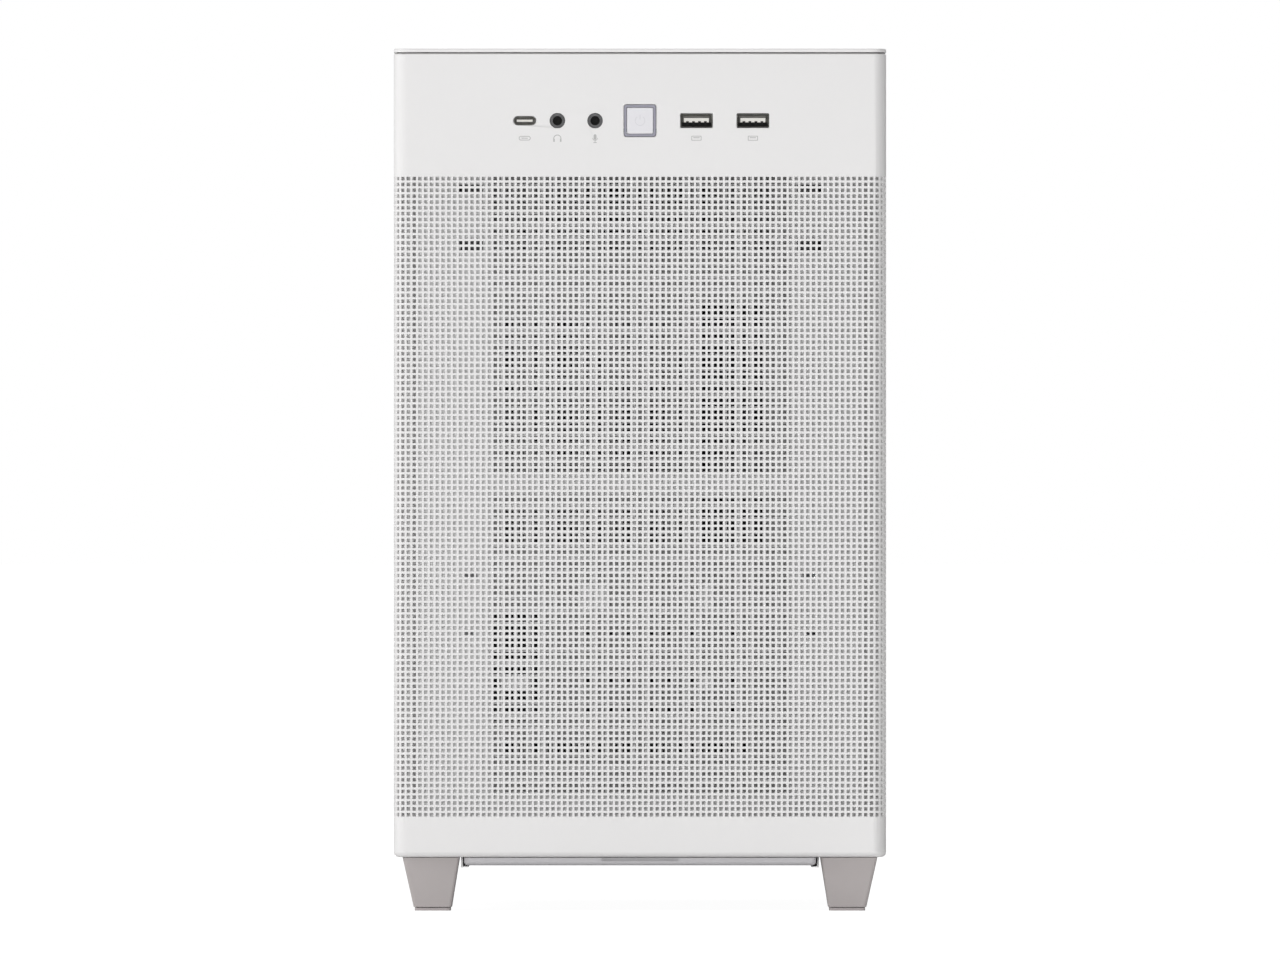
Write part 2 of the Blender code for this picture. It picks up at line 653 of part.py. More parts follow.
def fans(frame_mat, rotor_mat):
    rear = (REAR_FAN_X, REAR_WALL_Y - 0.0005 - FAN_DEPTH / 2, REAR_FAN_Z)
    fan_frame("rear_fan_frame", "Y", rear, FAN_SIZE, FAN_DEPTH, 0.0200, 1, frame_mat)
    rotor = (rear[0], rear[1] - 0.0020, rear[2])
    fan_rotor("rear_fan_rotor", "Y", rotor, 0.0200, 0.0558, 0.018, 9, rotor_mat)
    cooler = (0.0200, SOCKET_Y, SOCKET_Z)
    fan_frame("cpu_fan_frame", "X", cooler, 0.092, FAN_DEPTH, 0.0180, 1, frame_mat)
    fan_rotor("cpu_fan_rotor", "X", (0.0180, SOCKET_Y, SOCKET_Z), 0.0180, 0.0418, 0.018, 7, rotor_mat)
    supply = (0.0, SUPPLY_Y[0] + 0.0018 + SUPPLY_FAN_DEPTH / 2, SUPPLY_FAN_Z)
    fan_frame("psu_fan_frame", "Y", supply, SUPPLY_FAN_SIZE, SUPPLY_FAN_DEPTH, 0.0210, 1, frame_mat)
    rotor = (supply[0], supply[1] - 0.0022, supply[2])
    fan_rotor("psu_fan_rotor", "Y", rotor, 0.0210, 0.0625, 0.016, 11, rotor_mat)


# Motherboard and what is on it


def port_stacks():
    """Rear ports as lowest Z, highest Z and how far they reach from the board towards -X."""
    return (
        (0.3060, 0.3220, 0.0430),
        (0.2840, 0.2990, 0.0470),
        (0.2610, 0.2770, 0.0430),
        (0.2380, 0.2545, 0.0420),
        (0.2160, 0.2310, 0.0430),
        (0.1750, 0.2070, 0.0600),
    )


def motherboard(mat):
    """The circuit board with its sockets, connectors, heatsinks and rear port stacks."""
    back = BOARD_X + BOARD_THICKNESS
    board = box((BOARD_X, BOARD_Y0, BOARD_Z0), (back, BOARD_Y0 + BOARD_SIZE, BOARD_Z0 + BOARD_SIZE))
    root = BOARD_X + 0.0004
    raised = []
    for y in (0.040, 0.049, 0.058, 0.067):
        raised.append(((0.0675, y - 0.0031, 0.190), (root, y + 0.0031, 0.332)))
    for i, length in ((0, 0.089), (1, 0.025), (3, 0.089)):
        z = SLOT_TOP_Z - i * SLOT_PITCH
        raised.append(((0.0640, 0.185 - length, z - 0.0037), (root, 0.185, z + 0.0037)))
    raised.append(((0.0735, SOCKET_Y - 0.021, SOCKET_Z - 0.024), (root, SOCKET_Y + 0.021, SOCKET_Z + 0.024)))
    raised.append(((0.0640, -0.0200, 0.2150), (root, -0.0100, 0.2670)))
    raised.append(((0.0640, 0.1350, 0.3180), (root, 0.1560, 0.3280)))
    raised.append(((0.0660, 0.0000, 0.0905), (root, 0.0100, 0.0965)))
    raised.append(((0.0500, 0.1650, 0.2220), (root, 0.1880, 0.3020)))
    raised.append(((0.0560, 0.0760, 0.3120), (root, 0.1300, 0.3290)))
    raised.append(((0.0670, 0.0000, 0.1120), (root, 0.0450, 0.1480)))
    raised.append(((0.0700, 0.1105, 0.1660), (root, 0.1150, 0.1880)))
    for z0, z1, reach in port_stacks():
        raised.append(((reach, 0.2000, z0), (0.0735, 0.2282, z1)))
        raised.append(((0.0720, 0.2005, z0 + 0.001), (root, 0.2215, z1 - 0.001)))
    solids = [box(low, high) for low, high in raised]
    part("motherboard", join(board, *solids), mat)


def io_shield(mat):
    """The thin plate that fills the port opening, cut out round each port stack."""
    around = 0.0004
    holes = []
    for z0, z1, reach in port_stacks():
        holes.append(rectangle(reach - around, 0.0735 + around, z0 - around, z1 + around))
    outline = rectangle(SHIELD_X[0] - 0.001, SHIELD_X[1] + 0.0003, SHIELD_Z[0] - 0.001, SHIELD_Z[1] + 0.001)
    part("io_shield", prism(outline, "Y", REAR_WALL_Y - 0.0008, REAR_WALL_Y - 0.0003, holes), mat)


def processor(mat):
    low = (0.0705, SOCKET_Y - 0.019, SOCKET_Z - 0.019)
    part("processor", box(low, (0.0732, SOCKET_Y + 0.019, SOCKET_Z + 0.019)), mat)


def cpu_heatsink(mat):
    """A block on the processor with a row of upright fins towards the fan."""
    fins, half, thickness = 13, 0.045, 0.0016
    base, root, tip = 0.0640, 0.0600, 0.0335
    pitch = (2 * half - thickness) / (fins - 1)
    bottom = SOCKET_Z - half
    outline = [(base, bottom), (tip, bottom)]
    for i in range(fins - 1):
        z = bottom + i * pitch
        outline += [(tip, z + thickness), (root, z + thickness), (root, z + pitch), (tip, z + pitch)]
    outline += [(tip, bottom + 2 * half), (base, bottom + 2 * half)]
    fin_block = prism(outline, "Y", SOCKET_Y - half, SOCKET_Y + half)
    block = box((0.0630, SOCKET_Y - 0.018, SOCKET_Z - 0.018), (0.0702, SOCKET_Y + 0.018, SOCKET_Z + 0.018))
    part("cpu_heatsink", join(fin_block, block), mat)


def memory_modules(mat):
    for index, y in enumerate(MEMORY_Y, start=1):
        low = (0.0360, y - 0.0032, MEMORY_Z[0])
        part(f"memory_module_{index}", box(low, (0.0672, y + 0.0032, MEMORY_Z[1]), 0.0006), mat)


def m2_drive(mat):
    part("m2_drive", box((0.0712, 0.0300, 0.1660), (0.0740, 0.1100, 0.1880)), mat)


# Power supply and mains inlet


def psu_housing(mat):
    """The power supply's steel shell: open at the fan, the inlet, the rocker and the cable outlet."""
    y0, y1 = SUPPLY_Y
    z0, z1 = SUPPLY_Z
    wall = 0.0010
    shell = box((-SUPPLY_X, y0, z0), (SUPPLY_X, y1, z1), 0.0006)
    inside = box((-SUPPLY_X + wall, y0 + wall, z0 + wall), (SUPPLY_X - wall, y1 - wall, z1 - wall))
    mouth = cylinder("Y", (0.0, SUPPLY_FAN_Z), SUPPLY_FAN_RADIUS, y0 - 0.005, y0 + 0.005, 40)
    outlet = box((0.029, -0.152, z1 - 0.005), (0.056, -0.136, z1 + 0.005))
    blocks = [
        box((PLUG_X - 0.0155, -0.1740, z0 + 0.0004), (PLUG_X + 0.0155, -0.1500, z0 + 0.0150)),
        box((SWITCH_X - 0.0085, -0.1739, z0 + 0.0005), (SWITCH_X + 0.0085, -0.1501, z0 + 0.0160)),
    ]
    socket = box((PLUG_X - 0.0135, -0.1720, z0 - 0.005), (PLUG_X + 0.0135, -0.1520, z0 + 0.0120))
    low = (SWITCH_X - 0.0065, SWITCH_Y - 0.0098, z0 - 0.005)
    rocker = box(low, (SWITCH_X + 0.0065, SWITCH_Y + 0.0098, z0 + 0.0130))
    housing = join(cut(cut(shell, inside), mouth, outlet), *blocks)
    part("psu_housing", cut(housing, socket, rocker), mat)


def psu_switch(mat):
    """A rocker that tips about the X axis in its opening."""
    outline = [(-0.0085, 0.0030), (-0.0085, -0.0050), (0.0, -0.0036), (0.0085, -0.0028), (0.0085, 0.0030)]
    points = [(SWITCH_Y + u, SWITCH_PIVOT_Z + v) for u, v in outline]
    rocker = prism(points, "X", SWITCH_X - 0.0058, SWITCH_X + 0.0058)
    part("psu_switch", rocker, mat, pivot=(SWITCH_X, SWITCH_Y, SWITCH_PIVOT_Z))


def psu_fan_guard(mat):
    """Concentric rings on two crossed bars over the fan recess."""
    y0, y1 = SUPPLY_Y[0] + 0.0003, SUPPLY_Y[0] + 0.0015
    centre = (0.0, SUPPLY_FAN_Z)
    guard = prism(circle(*centre, 0.0662, 40), "Y", y0, y1, [circle(*centre, 0.0642, 40)])
    others = [cylinder("Y", centre, 0.012, y0 + 0.0001, y1 - 0.0001, 20)]
    for radius in (0.026, 0.039, 0.052):
        hole = [circle(*centre, radius - 0.0012, 32)]
        others.append(prism(circle(*centre, radius, 32), "Y", y0 + 0.0001, y1 - 0.0001, hole))
    for half_x, half_z, recess in ((0.065, 0.001, 0.0002), (0.001, 0.065, 0.0003)):
        low = (-half_x, y0 + recess, SUPPLY_FAN_Z - half_z)
        others.append(box(low, (half_x, y1 - recess, SUPPLY_FAN_Z + half_z)))
    part("psu_fan_guard", join(guard, *others), mat)


def psu_bracket(mat):
    """The shelf under the power supply, folded down against the front wall."""
    top = SUPPLY_Z[0] - 0.0005
    outline = rectangle(-0.085, 0.085, SUPPLY_Y[0], SUPPLY_Y[1] + 0.001, 0.001, 2)
    window = rectangle(-0.066, 0.066, -0.184, -0.130, 0.004, 3)
    shelf = prism(outline, "Z", top - SHEET, top, [window])
    fold = box((-0.0845, SUPPLY_Y[0] + 0.0001, 0.150), (0.0845, SUPPLY_Y[0] + 0.0009, top - 0.0002))
    part("psu_bracket", join(shelf, fold), mat)


def supply_shroud(mat):
    """A plate in front of the power supply, with two windows, its edges folded forwards to the front wall."""
    x, y, (z0, z1) = SHROUD_X, SHROUD_Y, SHROUD_Z
    windows = [
        rectangle(0.0255, 0.0515, 0.1525, 0.2525, 0.001, 2),
        rectangle(-0.0620, -0.0410, 0.0790, 0.1240, 0.001, 2),
    ]
    plate = prism(rectangle(-x, x, z0, z1), "Y", y, y + SHEET, windows)
    start, end = FRONT_WALL_Y + SHEET + GAP, y + 0.0004
    folds = []
    for side in (-1, 1):
        edge = sorted((side * (x - 0.0001), side * (x - 0.0001 - SHEET)))
        folds.append(box((edge[0], start, z0 + 0.0005), (edge[1], end, z1 - 0.0005)))
    for z in (z0 + 0.0001, z1 - 0.0001 - SHEET):
        folds.append(box((-x + 0.0005, start + 0.0001, z), (x - 0.0005, end + 0.0001, z + SHEET)))
    part("supply_shroud", join(plate, *folds), mat)


def power_inlet(mat):
    """The mains socket in the rear wall: a flange, a shroud and three flat pins."""
    y0 = REAR_WALL_Y + SHEET + GAP
    flange = prism(centred(INLET_X, INLET_Z, 0.050, 0.0226, 0.004, 3), "Y", y0, y0 + 0.0024)
    body = prism(centred(INLET_X, INLET_Z, 0.0270, 0.0196, 0.002, 2), "Y", 0.2050, y0 + 0.0010)
    socket = prism(centred(INLET_X, INLET_Z, 0.0242, 0.0165, 0.002, 2), "Y", 0.2120, y0 + 0.005)
    pins = []
    for x, z in ((-0.0070, -0.0028), (0.0, 0.0008), (0.0070, -0.0028)):
        low = (INLET_X + x - 0.0010, 0.2110, INLET_Z + z - 0.0020)
        pins.append(box(low, (INLET_X + x + 0.0010, y0 - 0.001, INLET_Z + z + 0.0020)))
    part("power_inlet", join(cut(join(flange, body), socket), *pins), mat)


def inlet_lead(mat):
    """The lead from the rear inlet along the floor and up to the plug in the power supply."""
    knots = [
        (INLET_X, 0.2046, INLET_Z),
        (INLET_X, 0.180, 0.048),
        (-0.062, 0.145, 0.031),
        (-0.070, 0.050, 0.0285),
        (-0.070, -0.070, 0.0285),
        (-0.055, -0.119, 0.050),
        (-0.036, -0.154, 0.100),
        (PLUG_X, -0.162, 0.152),
    ]
    plug = box((PLUG_X - 0.0110, -0.1695, 0.150), (PLUG_X + 0.0110, -0.1545, 0.1835), 0.001)
    part("inlet_lead", join(plug, tube(knots, 0.0035)), mat, smooth=True)


# Cables


def main_power_cable(mat):
    knots = [
        (0.037, -0.144, 0.3045),
        (0.037, -0.144, 0.3200),
        (0.042, -0.128, 0.3340),
        (0.054, -0.103, 0.3230),
        (0.060, -0.092, 0.2930),
        (0.058, -0.072, 0.2620),
        (0.048, -0.048, 0.2460),
        (0.0430, -0.028, 0.2415),
        (0.0460, -0.0165, 0.2410),
        (0.0550, -0.0150, 0.2410),
    ]
    plug = box((0.0540, -0.0205, 0.2155), (0.0637, -0.0095, 0.2665), 0.0005)
    part("main_power_cable", join(plug, tube(knots, 0.0045)), mat, smooth=True)


def cpu_power_cable(mat):
    knots = [
        (0.049, -0.144, 0.3045),
        (0.049, -0.144, 0.3190),
        (0.054, -0.130, 0.3360),
        (0.062, -0.099, 0.3430),
        (0.066, -0.030, 0.3440),
        (0.064, 0.060, 0.3440),
        (0.054, 0.118, 0.3420),
        (0.0450, 0.140, 0.3330),
        (0.0460, 0.1455, 0.3240),
        (0.0550, 0.1455, 0.3230),
    ]
    plug = box((0.0540, 0.1345, 0.3185), (0.0637, 0.1565, 0.3275), 0.0005)
    part("cpu_power_cable", join(plug, tube(knots, 0.0032)), mat, smooth=True)


def front_io_cable(mat):
    knots = [
        (0.050, -0.2120, 0.3300),
        (0.051, -0.1980, 0.3310),
        (0.064, -0.1750, 0.3300),
        (0.079, -0.1500, 0.3170),
        (0.0790, -0.1250, 0.2800),
        (0.0775, -0.0900, 0.2000),
        (0.0760, -0.0550, 0.1250),
        (0.0680, -0.0200, 0.0850),
        (0.0560, -0.0020, 0.0860),
        (0.0610, 0.0050, 0.0935),
    ]
    plug = box((0.0600, -0.0003, 0.0902), (0.0657, 0.0103, 0.0968))
    part("front_io_cable", join(plug, tube(knots, 0.0020, 8)), mat, smooth=True)


def slot_covers(mat):
    """Four bent strips that close the expansion slots from inside the rear wall."""
    x0, x1 = SLOT_X[0] - 0.001, SLOT_X[1] + 0.006
    inner, outer = REAR_WALL_Y - 0.0011, REAR_WALL_Y - 0.0003
    bend, tab_end = x0 + SHEET, 0.2290
    profile = [(x0, inner), (x1, inner), (x1, outer), (bend, outer), (bend, tab_end), (x0, tab_end)]
    for index, z in enumerate(slot_heights(), start=1):
        part(f"slot_cover_{index}", prism(profile, "Z", z - 0.0092, z + 0.0092), mat)


def chassis(mat):
    chassis_floor(mat)
    chassis_front_wall(mat)
    chassis_rear_wall(mat)
    motherboard_tray(mat)
    top_rail("top_rail_left", -1, mat)
    top_rail("top_rail_right", 1, mat)


def outer_panels(mat):
    front_panel(mat)
    top_panel(mat)
    side_panel("left_side_panel", -1, mat)
    side_panel("right_side_panel", 1, mat)


def build():
    clear_scene()
    panel_white = material("panel_white", WHITE, 0.50)
    chassis_white = material("chassis_white", (0.78, 0.78, 0.78), 0.48)
    shroud_grey = material("shroud_grey", (0.45, 0.45, 0.45), 0.50)
    foot_grey = material("foot_grey", WARM_GREY, 0.55)
    rubber = material("rubber_grey", (0.25, 0.24, 0.24), 0.9)
    filter_grey = material("filter_grey", (0.52, 0.51, 0.53), 0.5)
    filter_cloth = material("filter_cloth", (0.10, 0.10, 0.11), 0.9)
    port_metal = material("port_metal", (0.20, 0.20, 0.20), 0.35, 1.0)
    jack_plastic = material("jack_plastic", DARK, 0.4)
    ring_plastic = material("ring_plastic", LAVENDER_GREY, 0.3)
    button_plastic = material("button_plastic", (0.76, 0.76, 0.79), 0.35)
    board_black = material("board_black", (0.02, 0.022, 0.025), 0.5)
    board_green = material("board_green", (0.02, 0.10, 0.05), 0.5)
    fan_black = material("fan_black", BLACK, 0.45)
    rotor_black = material("rotor_black", (0.025, 0.025, 0.028), 0.4)
    bare_steel = material("bare_steel", STEEL, 0.35, 1.0)
    aluminium = material("aluminium", (0.70, 0.71, 0.73), 0.3, 1.0)
    supply_black = material("supply_black", (0.02, 0.02, 0.022), 0.5)
    memory_white = material("memory_white", (0.70, 0.70, 0.71), 0.4)
    cable_black = material("cable_black", (0.015, 0.015, 0.016), 0.6)

    outer_panels(panel_white)
    chassis(chassis_white)
    corners = ((-1, -1), (1, -1), (-1, 1), (1, 1))
    for index, (side, end) in enumerate(corners, start=1):
        foot(index, side, end, foot_grey, rubber)
    dust_filter(filter_grey, filter_cloth)

    for index, x in enumerate(USB_A_X, start=1):
        usb_a_port(f"usb_a_port_{index}", x, port_metal)
    usb_c_port(port_metal)
    audio_jack("headphone_jack", HEADPHONE_X, jack_plastic)
    audio_jack("microphone_jack", MICROPHONE_X, jack_plastic)
    front_io_board(board_green)
    power_button(ring_plastic, button_plastic, jack_plastic)

    fans(fan_black, rotor_black)
    motherboard(board_black)
    io_shield(bare_steel)
    processor(bare_steel)
    cpu_heatsink(aluminium)
    memory_modules(memory_white)
    m2_drive(board_black)
    slot_covers(chassis_white)

    psu_housing(supply_black)
    psu_switch(jack_plastic)
    psu_fan_guard(bare_steel)
    psu_bracket(chassis_white)
    supply_shroud(shroud_grey)
    power_inlet(jack_plastic)
    inlet_lead(cable_black)
    main_power_cable(cable_black)
    cpu_power_cable(cable_black)
    front_io_cable(cable_black)


build()
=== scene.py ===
"""Looks of the desktop computer tower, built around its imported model.

Metres, +Z up, front facing -Y. Every piece is made in place, with its origin at the model's origin.
"""

import json
import math

import bmesh
import bpy
import numpy as np
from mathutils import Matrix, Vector


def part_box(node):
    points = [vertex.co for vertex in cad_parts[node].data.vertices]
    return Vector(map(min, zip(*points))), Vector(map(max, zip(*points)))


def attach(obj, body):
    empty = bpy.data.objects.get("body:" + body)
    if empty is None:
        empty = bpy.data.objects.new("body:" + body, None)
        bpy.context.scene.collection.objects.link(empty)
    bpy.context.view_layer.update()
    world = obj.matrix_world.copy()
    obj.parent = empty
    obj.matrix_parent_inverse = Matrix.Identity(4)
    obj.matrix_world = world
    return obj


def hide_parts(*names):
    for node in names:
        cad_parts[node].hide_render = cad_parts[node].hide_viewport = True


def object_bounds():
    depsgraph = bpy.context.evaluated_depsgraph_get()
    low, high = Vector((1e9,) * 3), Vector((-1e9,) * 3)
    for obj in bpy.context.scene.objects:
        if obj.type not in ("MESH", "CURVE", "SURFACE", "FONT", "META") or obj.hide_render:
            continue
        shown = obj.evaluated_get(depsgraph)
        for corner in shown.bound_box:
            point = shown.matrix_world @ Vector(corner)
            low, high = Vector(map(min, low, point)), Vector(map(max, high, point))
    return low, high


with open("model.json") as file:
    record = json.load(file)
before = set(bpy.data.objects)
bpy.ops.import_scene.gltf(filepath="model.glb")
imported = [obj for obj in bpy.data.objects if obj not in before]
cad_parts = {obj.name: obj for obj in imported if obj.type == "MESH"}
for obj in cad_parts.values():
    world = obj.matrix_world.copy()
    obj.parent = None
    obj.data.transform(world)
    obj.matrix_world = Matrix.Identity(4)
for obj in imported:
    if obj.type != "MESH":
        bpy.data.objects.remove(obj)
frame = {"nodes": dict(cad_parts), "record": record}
CAD_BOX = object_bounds()

NODES = frame["nodes"]
BODY_OF = {node: body for body, nodes in frame["record"]["behaviour"]["bodies"].items() for node in nodes}
SLOT_OF = {part["node"]: part["material_slot"] for part in frame["record"]["subparts"]}
LOW, HIGH = CAD_BOX

# Perforation of the outer panels: square holes on a nearly square grid
PITCH_X = 0.00241
PITCH_Z = 0.00243
HOLE = 0.00150
FRONT_ROWS = 110
FRONT_TOP_ROW = HIGH.z - 0.0541
FRONT_COLUMNS = 50
FRONT_SHEET = 0.0010
CORNER_RADIUS = 0.0054
SIDE_BORDER = 0.014
TOP_SHEET = 0.0015
INK_DEPTH = 0.00015

# Perforation of the inner sheets
SHEET = 0.0008
INNER_PITCH = 0.00546
INNER_HOLE = 0.0038
INNER_COUNT = 23
INNER_FIELDS = (0.04847, 0.18200)
SHROUD_PITCH = 0.0030
SHROUD_HOLE = 0.0019

# Front ports
PORT_Z = HIGH.z - 0.030
MARK_Z = PORT_Z - 0.0073
USB_A_X = (0.0235, 0.0470)
USB_C_X = -0.0480
HEADPHONE_X = -0.0344
MICROPHONE_X = -0.0187

# Rear wall: its outer face, and the middle of its fan as X, Z
REAR_FACE = 0.2253
REAR_FAN = (-0.0325, 0.265)
REAR_FAN_BOLT = 0.0525

# Motherboard: its face, and the corner nearest to the front and the floor
BOARD_X = 0.0748
BOARD_Y = -0.0215
BOARD_Z = 0.0895
BOARD_SIZE = 0.244
BOARD_THICKNESS = 0.0016


# Materials


def noise(tree, scale, detail, stretch=(1.0, 1.0, 1.0)):
    """A noise over the object's own coordinates."""
    place = tree.nodes.new("ShaderNodeTexCoord")
    mapping = tree.nodes.new("ShaderNodeMapping")
    mapping.inputs["Scale"].default_value = stretch
    node = tree.nodes.new("ShaderNodeTexNoise")
    node.inputs["Scale"].default_value = scale
    node.inputs["Detail"].default_value = detail
    tree.links.new(place.outputs["Object"], mapping.inputs["Vector"])
    tree.links.new(mapping.outputs["Vector"], node.inputs["Vector"])
    return node


def mixed(tree, factor, first, second):
    """A colour mix; first and second are colours or sockets, and factor is a socket."""
    mix = tree.nodes.new("ShaderNodeMix")
    mix.data_type = "RGBA"
    tree.links.new(factor, mix.inputs["Factor"])
    for name, value in (("A", first), ("B", second)):
        if isinstance(value, tuple):
            mix.inputs[name].default_value = (*value, 1.0)
        else:
            tree.links.new(value, mix.inputs[name])
    return mix.outputs["Result"]


def remapped(tree, value, low, high, to_low, to_high):
    node = tree.nodes.new("ShaderNodeMapRange")
    for name, number in (("From Min", low), ("From Max", high), ("To Min", to_low), ("To Max", to_high)):
        node.inputs[name].default_value = number
    tree.links.new(value, node.inputs["Value"])
    return node.outputs["Result"]


def lighter(colour, factor):
    return tuple(min(1.0, c * factor) for c in colour)


def material(name, colour, roughness=0.5, metallic=0.0, spread=0.04, gloss_spread=0.06, grain=900.0,
             bump=0.03,
             patches=18.0, wear=0.25, stretch=(1.0, 1.0, 1.0)):
    """A Principled material with broad colour variation, fine grain in gloss and relief, lighter edges."""
    mat = bpy.data.materials.new(name)
    mat.use_nodes = True
    tree = mat.node_tree
    shader = tree.nodes["Principled BSDF"]
    broad = noise(tree, patches, 4.0)
    fine = noise(tree, grain, 2.0, stretch)
    tint = mixed(tree, broad.outputs["Fac"], lighter(colour, 1 - spread), lighter(colour, 1 + spread))
    geometry = tree.nodes.new("ShaderNodeNewGeometry")
    edge = remapped(tree, geometry.outputs["Pointiness"], 0.52, 0.62, 0.0, wear)
    worn = mixed(tree, edge, tint, lighter(colour, 1.25 if max(colour) > 0.4 else 2.2))
    tree.links.new(worn, shader.inputs["Base Color"])
    gloss = remapped(tree, fine.outputs["Fac"], 0.3, 0.7, roughness - gloss_spread, roughness + gloss_spread)
    tree.links.new(gloss, shader.inputs["Roughness"])
    relief = tree.nodes.new("ShaderNodeBump")
    relief.inputs["Strength"].default_value = bump
    relief.inputs["Distance"].default_value = 0.0005
    tree.links.new(fine.outputs["Fac"], relief.inputs["Height"])
    tree.links.new(relief.outputs["Normal"], shader.inputs["Normal"])
    shader.inputs["Metallic"].default_value = metallic
    return mat


def board_material(name, colour, track):
    """Solder-masked circuit board: the base colour with patches of fine tracks that show through it."""
    mat = material(name, colour, 0.38, spread=0.10, grain=700.0, bump=0.03)
    tree = mat.node_tree
    shader = tree.nodes["Principled BSDF"]
    base = shader.inputs["Base Color"].links[0].from_socket
    place = tree.nodes.new("ShaderNodeTexCoord")
    cells = tree.nodes.new("ShaderNodeTexVoronoi")
    cells.distance = "CHEBYCHEV"
    cells.inputs["Scale"].default_value = 55.0
    wave = tree.nodes.new("ShaderNodeTexWave")
    wave.bands_direction = "DIAGONAL"
    wave.inputs["Scale"].default_value = 220.0
    wave.inputs["Distortion"].default_value = 1.0
    tree.links.new(place.outputs["Object"], cells.inputs["Vector"])
    tree.links.new(place.outputs["Object"], wave.inputs["Vector"])
    group = remapped(tree, cells.outputs["Distance"], 0.30, 0.34, 1.0, 0.0)
    line = remapped(tree, wave.outputs["Fac"], 0.55, 0.75, 0.0, 1.0)
    both = tree.nodes.new("ShaderNodeMath")
    both.operation = "MULTIPLY"
    tree.links.new(group, both.inputs[0])
    tree.links.new(line, both.inputs[1])
    tree.links.new(mixed(tree, both.outputs["Value"], base, track), shader.inputs["Base Color"])
    return mat


COAT = material("white_powder_coat", (0.772, 0.764, 0.762), 0.52, spread=0.010, grain=2600.0, bump=0.04,
                wear=0.05)
CHASSIS = material("chassis_powder_coat", (0.800, 0.797, 0.800), 0.52, spread=0.015, grain=2200.0, wear=0.08)
# Shroud: a light grey coat, darkened in part as painted shade for the dim light behind the inner grilles
SHROUD = material("shroud_coat_painted_shade", (0.390, 0.388, 0.385), 0.50, spread=0.05, grain=2200.0, wear=0.08)
FOOT = material("foot_plastic", (0.425, 0.392, 0.388), 0.50, spread=0.05, grain=1500.0, bump=0.05, wear=0.15)
RUBBER = material("pad_rubber", (0.34, 0.31, 0.31), 0.85, spread=0.08, grain=1100.0, bump=0.12)
TRAY = material("filter_plastic", (0.480, 0.470, 0.485), 0.50, spread=0.03, grain=1500.0, bump=0.04,
                wear=0.12)
CLOTH = material("filter_cloth", (0.09, 0.09, 0.10), 0.90, spread=0.15, grain=3500.0, bump=0.4)
# Port shells: near-black metal as painted shade, for the shadow in the port mouths
SHADED_SHELL = material("port_shell_painted_shade", (0.034, 0.033, 0.029), 0.45, 0.6, spread=0.08, grain=1200.0)
# Near black for the port contacts and bores: painted shade deep in the recesses
BORE_SHADE = material("bore_painted_shade", (0.004, 0.004, 0.004), 0.9, spread=0.1)
TONGUE = material("port_tongue", (0.72, 0.70, 0.66), 0.50, spread=0.04)
JACK = material("jack_plastic", (0.050, 0.050, 0.053), 0.50, spread=0.06)
RING = material("ring_plastic", (0.295, 0.292, 0.350), 0.60, spread=0.03, wear=0.1)
BUTTON = material("button_plastic", (0.760, 0.755, 0.785), 0.60, spread=0.01, wear=0.05)
SYMBOL = material("button_symbol", (0.640, 0.637, 0.665), 0.60, spread=0.01)
INK = material("mark_ink", (0.355, 0.352, 0.350), 0.50, spread=0.04)
BOARD = board_material("board_black", (0.016, 0.018, 0.021), (0.050, 0.056, 0.060))
GREEN = board_material("board_green", (0.016, 0.090, 0.045), (0.040, 0.170, 0.085))
STONE = material("choke_grey", (0.115, 0.115, 0.120), 0.55, spread=0.10)
# Fan guard: dark grey in place of bare steel, painted shade that keeps it from glinting
SHADED_GUARD = material("guard_wire", (0.060, 0.060, 0.064), 0.55, spread=0.06, grain=1500.0)
# Near-black sheet behind the shroud: painted shade seen through its holes
SHADE_SHEET = material("painted_shade_black", (0.008, 0.008, 0.009), 0.95, spread=0.2, grain=2600.0, bump=0.3)
PLASTIC = material("connector_plastic", (0.022, 0.022, 0.024), 0.42, spread=0.08)
FAN = material("fan_black", (0.020, 0.020, 0.022), 0.45, spread=0.06, grain=1400.0)
ROTOR = material("rotor_black", (0.030, 0.030, 0.034), 0.32, spread=0.06, grain=1400.0)
STEEL = material("bare_steel", (0.60, 0.60, 0.61), 0.30, 1.0, spread=0.05, stretch=(1, 1, 14))
NICKEL = material("nickel_plate", (0.66, 0.65, 0.62), 0.22, 1.0)
ALUMINIUM = material("aluminium", (0.70, 0.71, 0.73), 0.34, 1.0, grain=700.0, stretch=(1, 14, 1))
COPPER = material("copper_pipe", (0.72, 0.38, 0.24), 0.28, 1.0)
GOLD = material("gold_plate", (0.80, 0.58, 0.25), 0.25, 1.0)
SUPPLY = material("supply_black", (0.022, 0.022, 0.025), 0.48, spread=0.08, grain=2400.0, bump=0.08)
MEMORY = material("memory_white", (0.68, 0.68, 0.70), 0.36, spread=0.02, grain=1600.0)
CABLE = material("cable_black", (0.018, 0.018, 0.020), 0.60, spread=0.12, grain=1500.0, bump=0.2)
SLEEVE = material("cable_sleeve", (0.030, 0.030, 0.034), 0.70, spread=0.2, grain=1900.0, bump=0.5)
CHIP = material("chip_package", (0.030, 0.030, 0.032), 0.48, spread=0.06)
BLUE = material("port_blue", (0.02, 0.12, 0.50), 0.35, spread=0.05)
GREEN_JACK = material("jack_green", (0.06, 0.42, 0.10), 0.35, spread=0.05)
PINK_JACK = material("jack_pink", (0.65, 0.16, 0.26), 0.35, spread=0.05)
BLUE_JACK = material("jack_blue", (0.08, 0.30, 0.60), 0.35, spread=0.05)

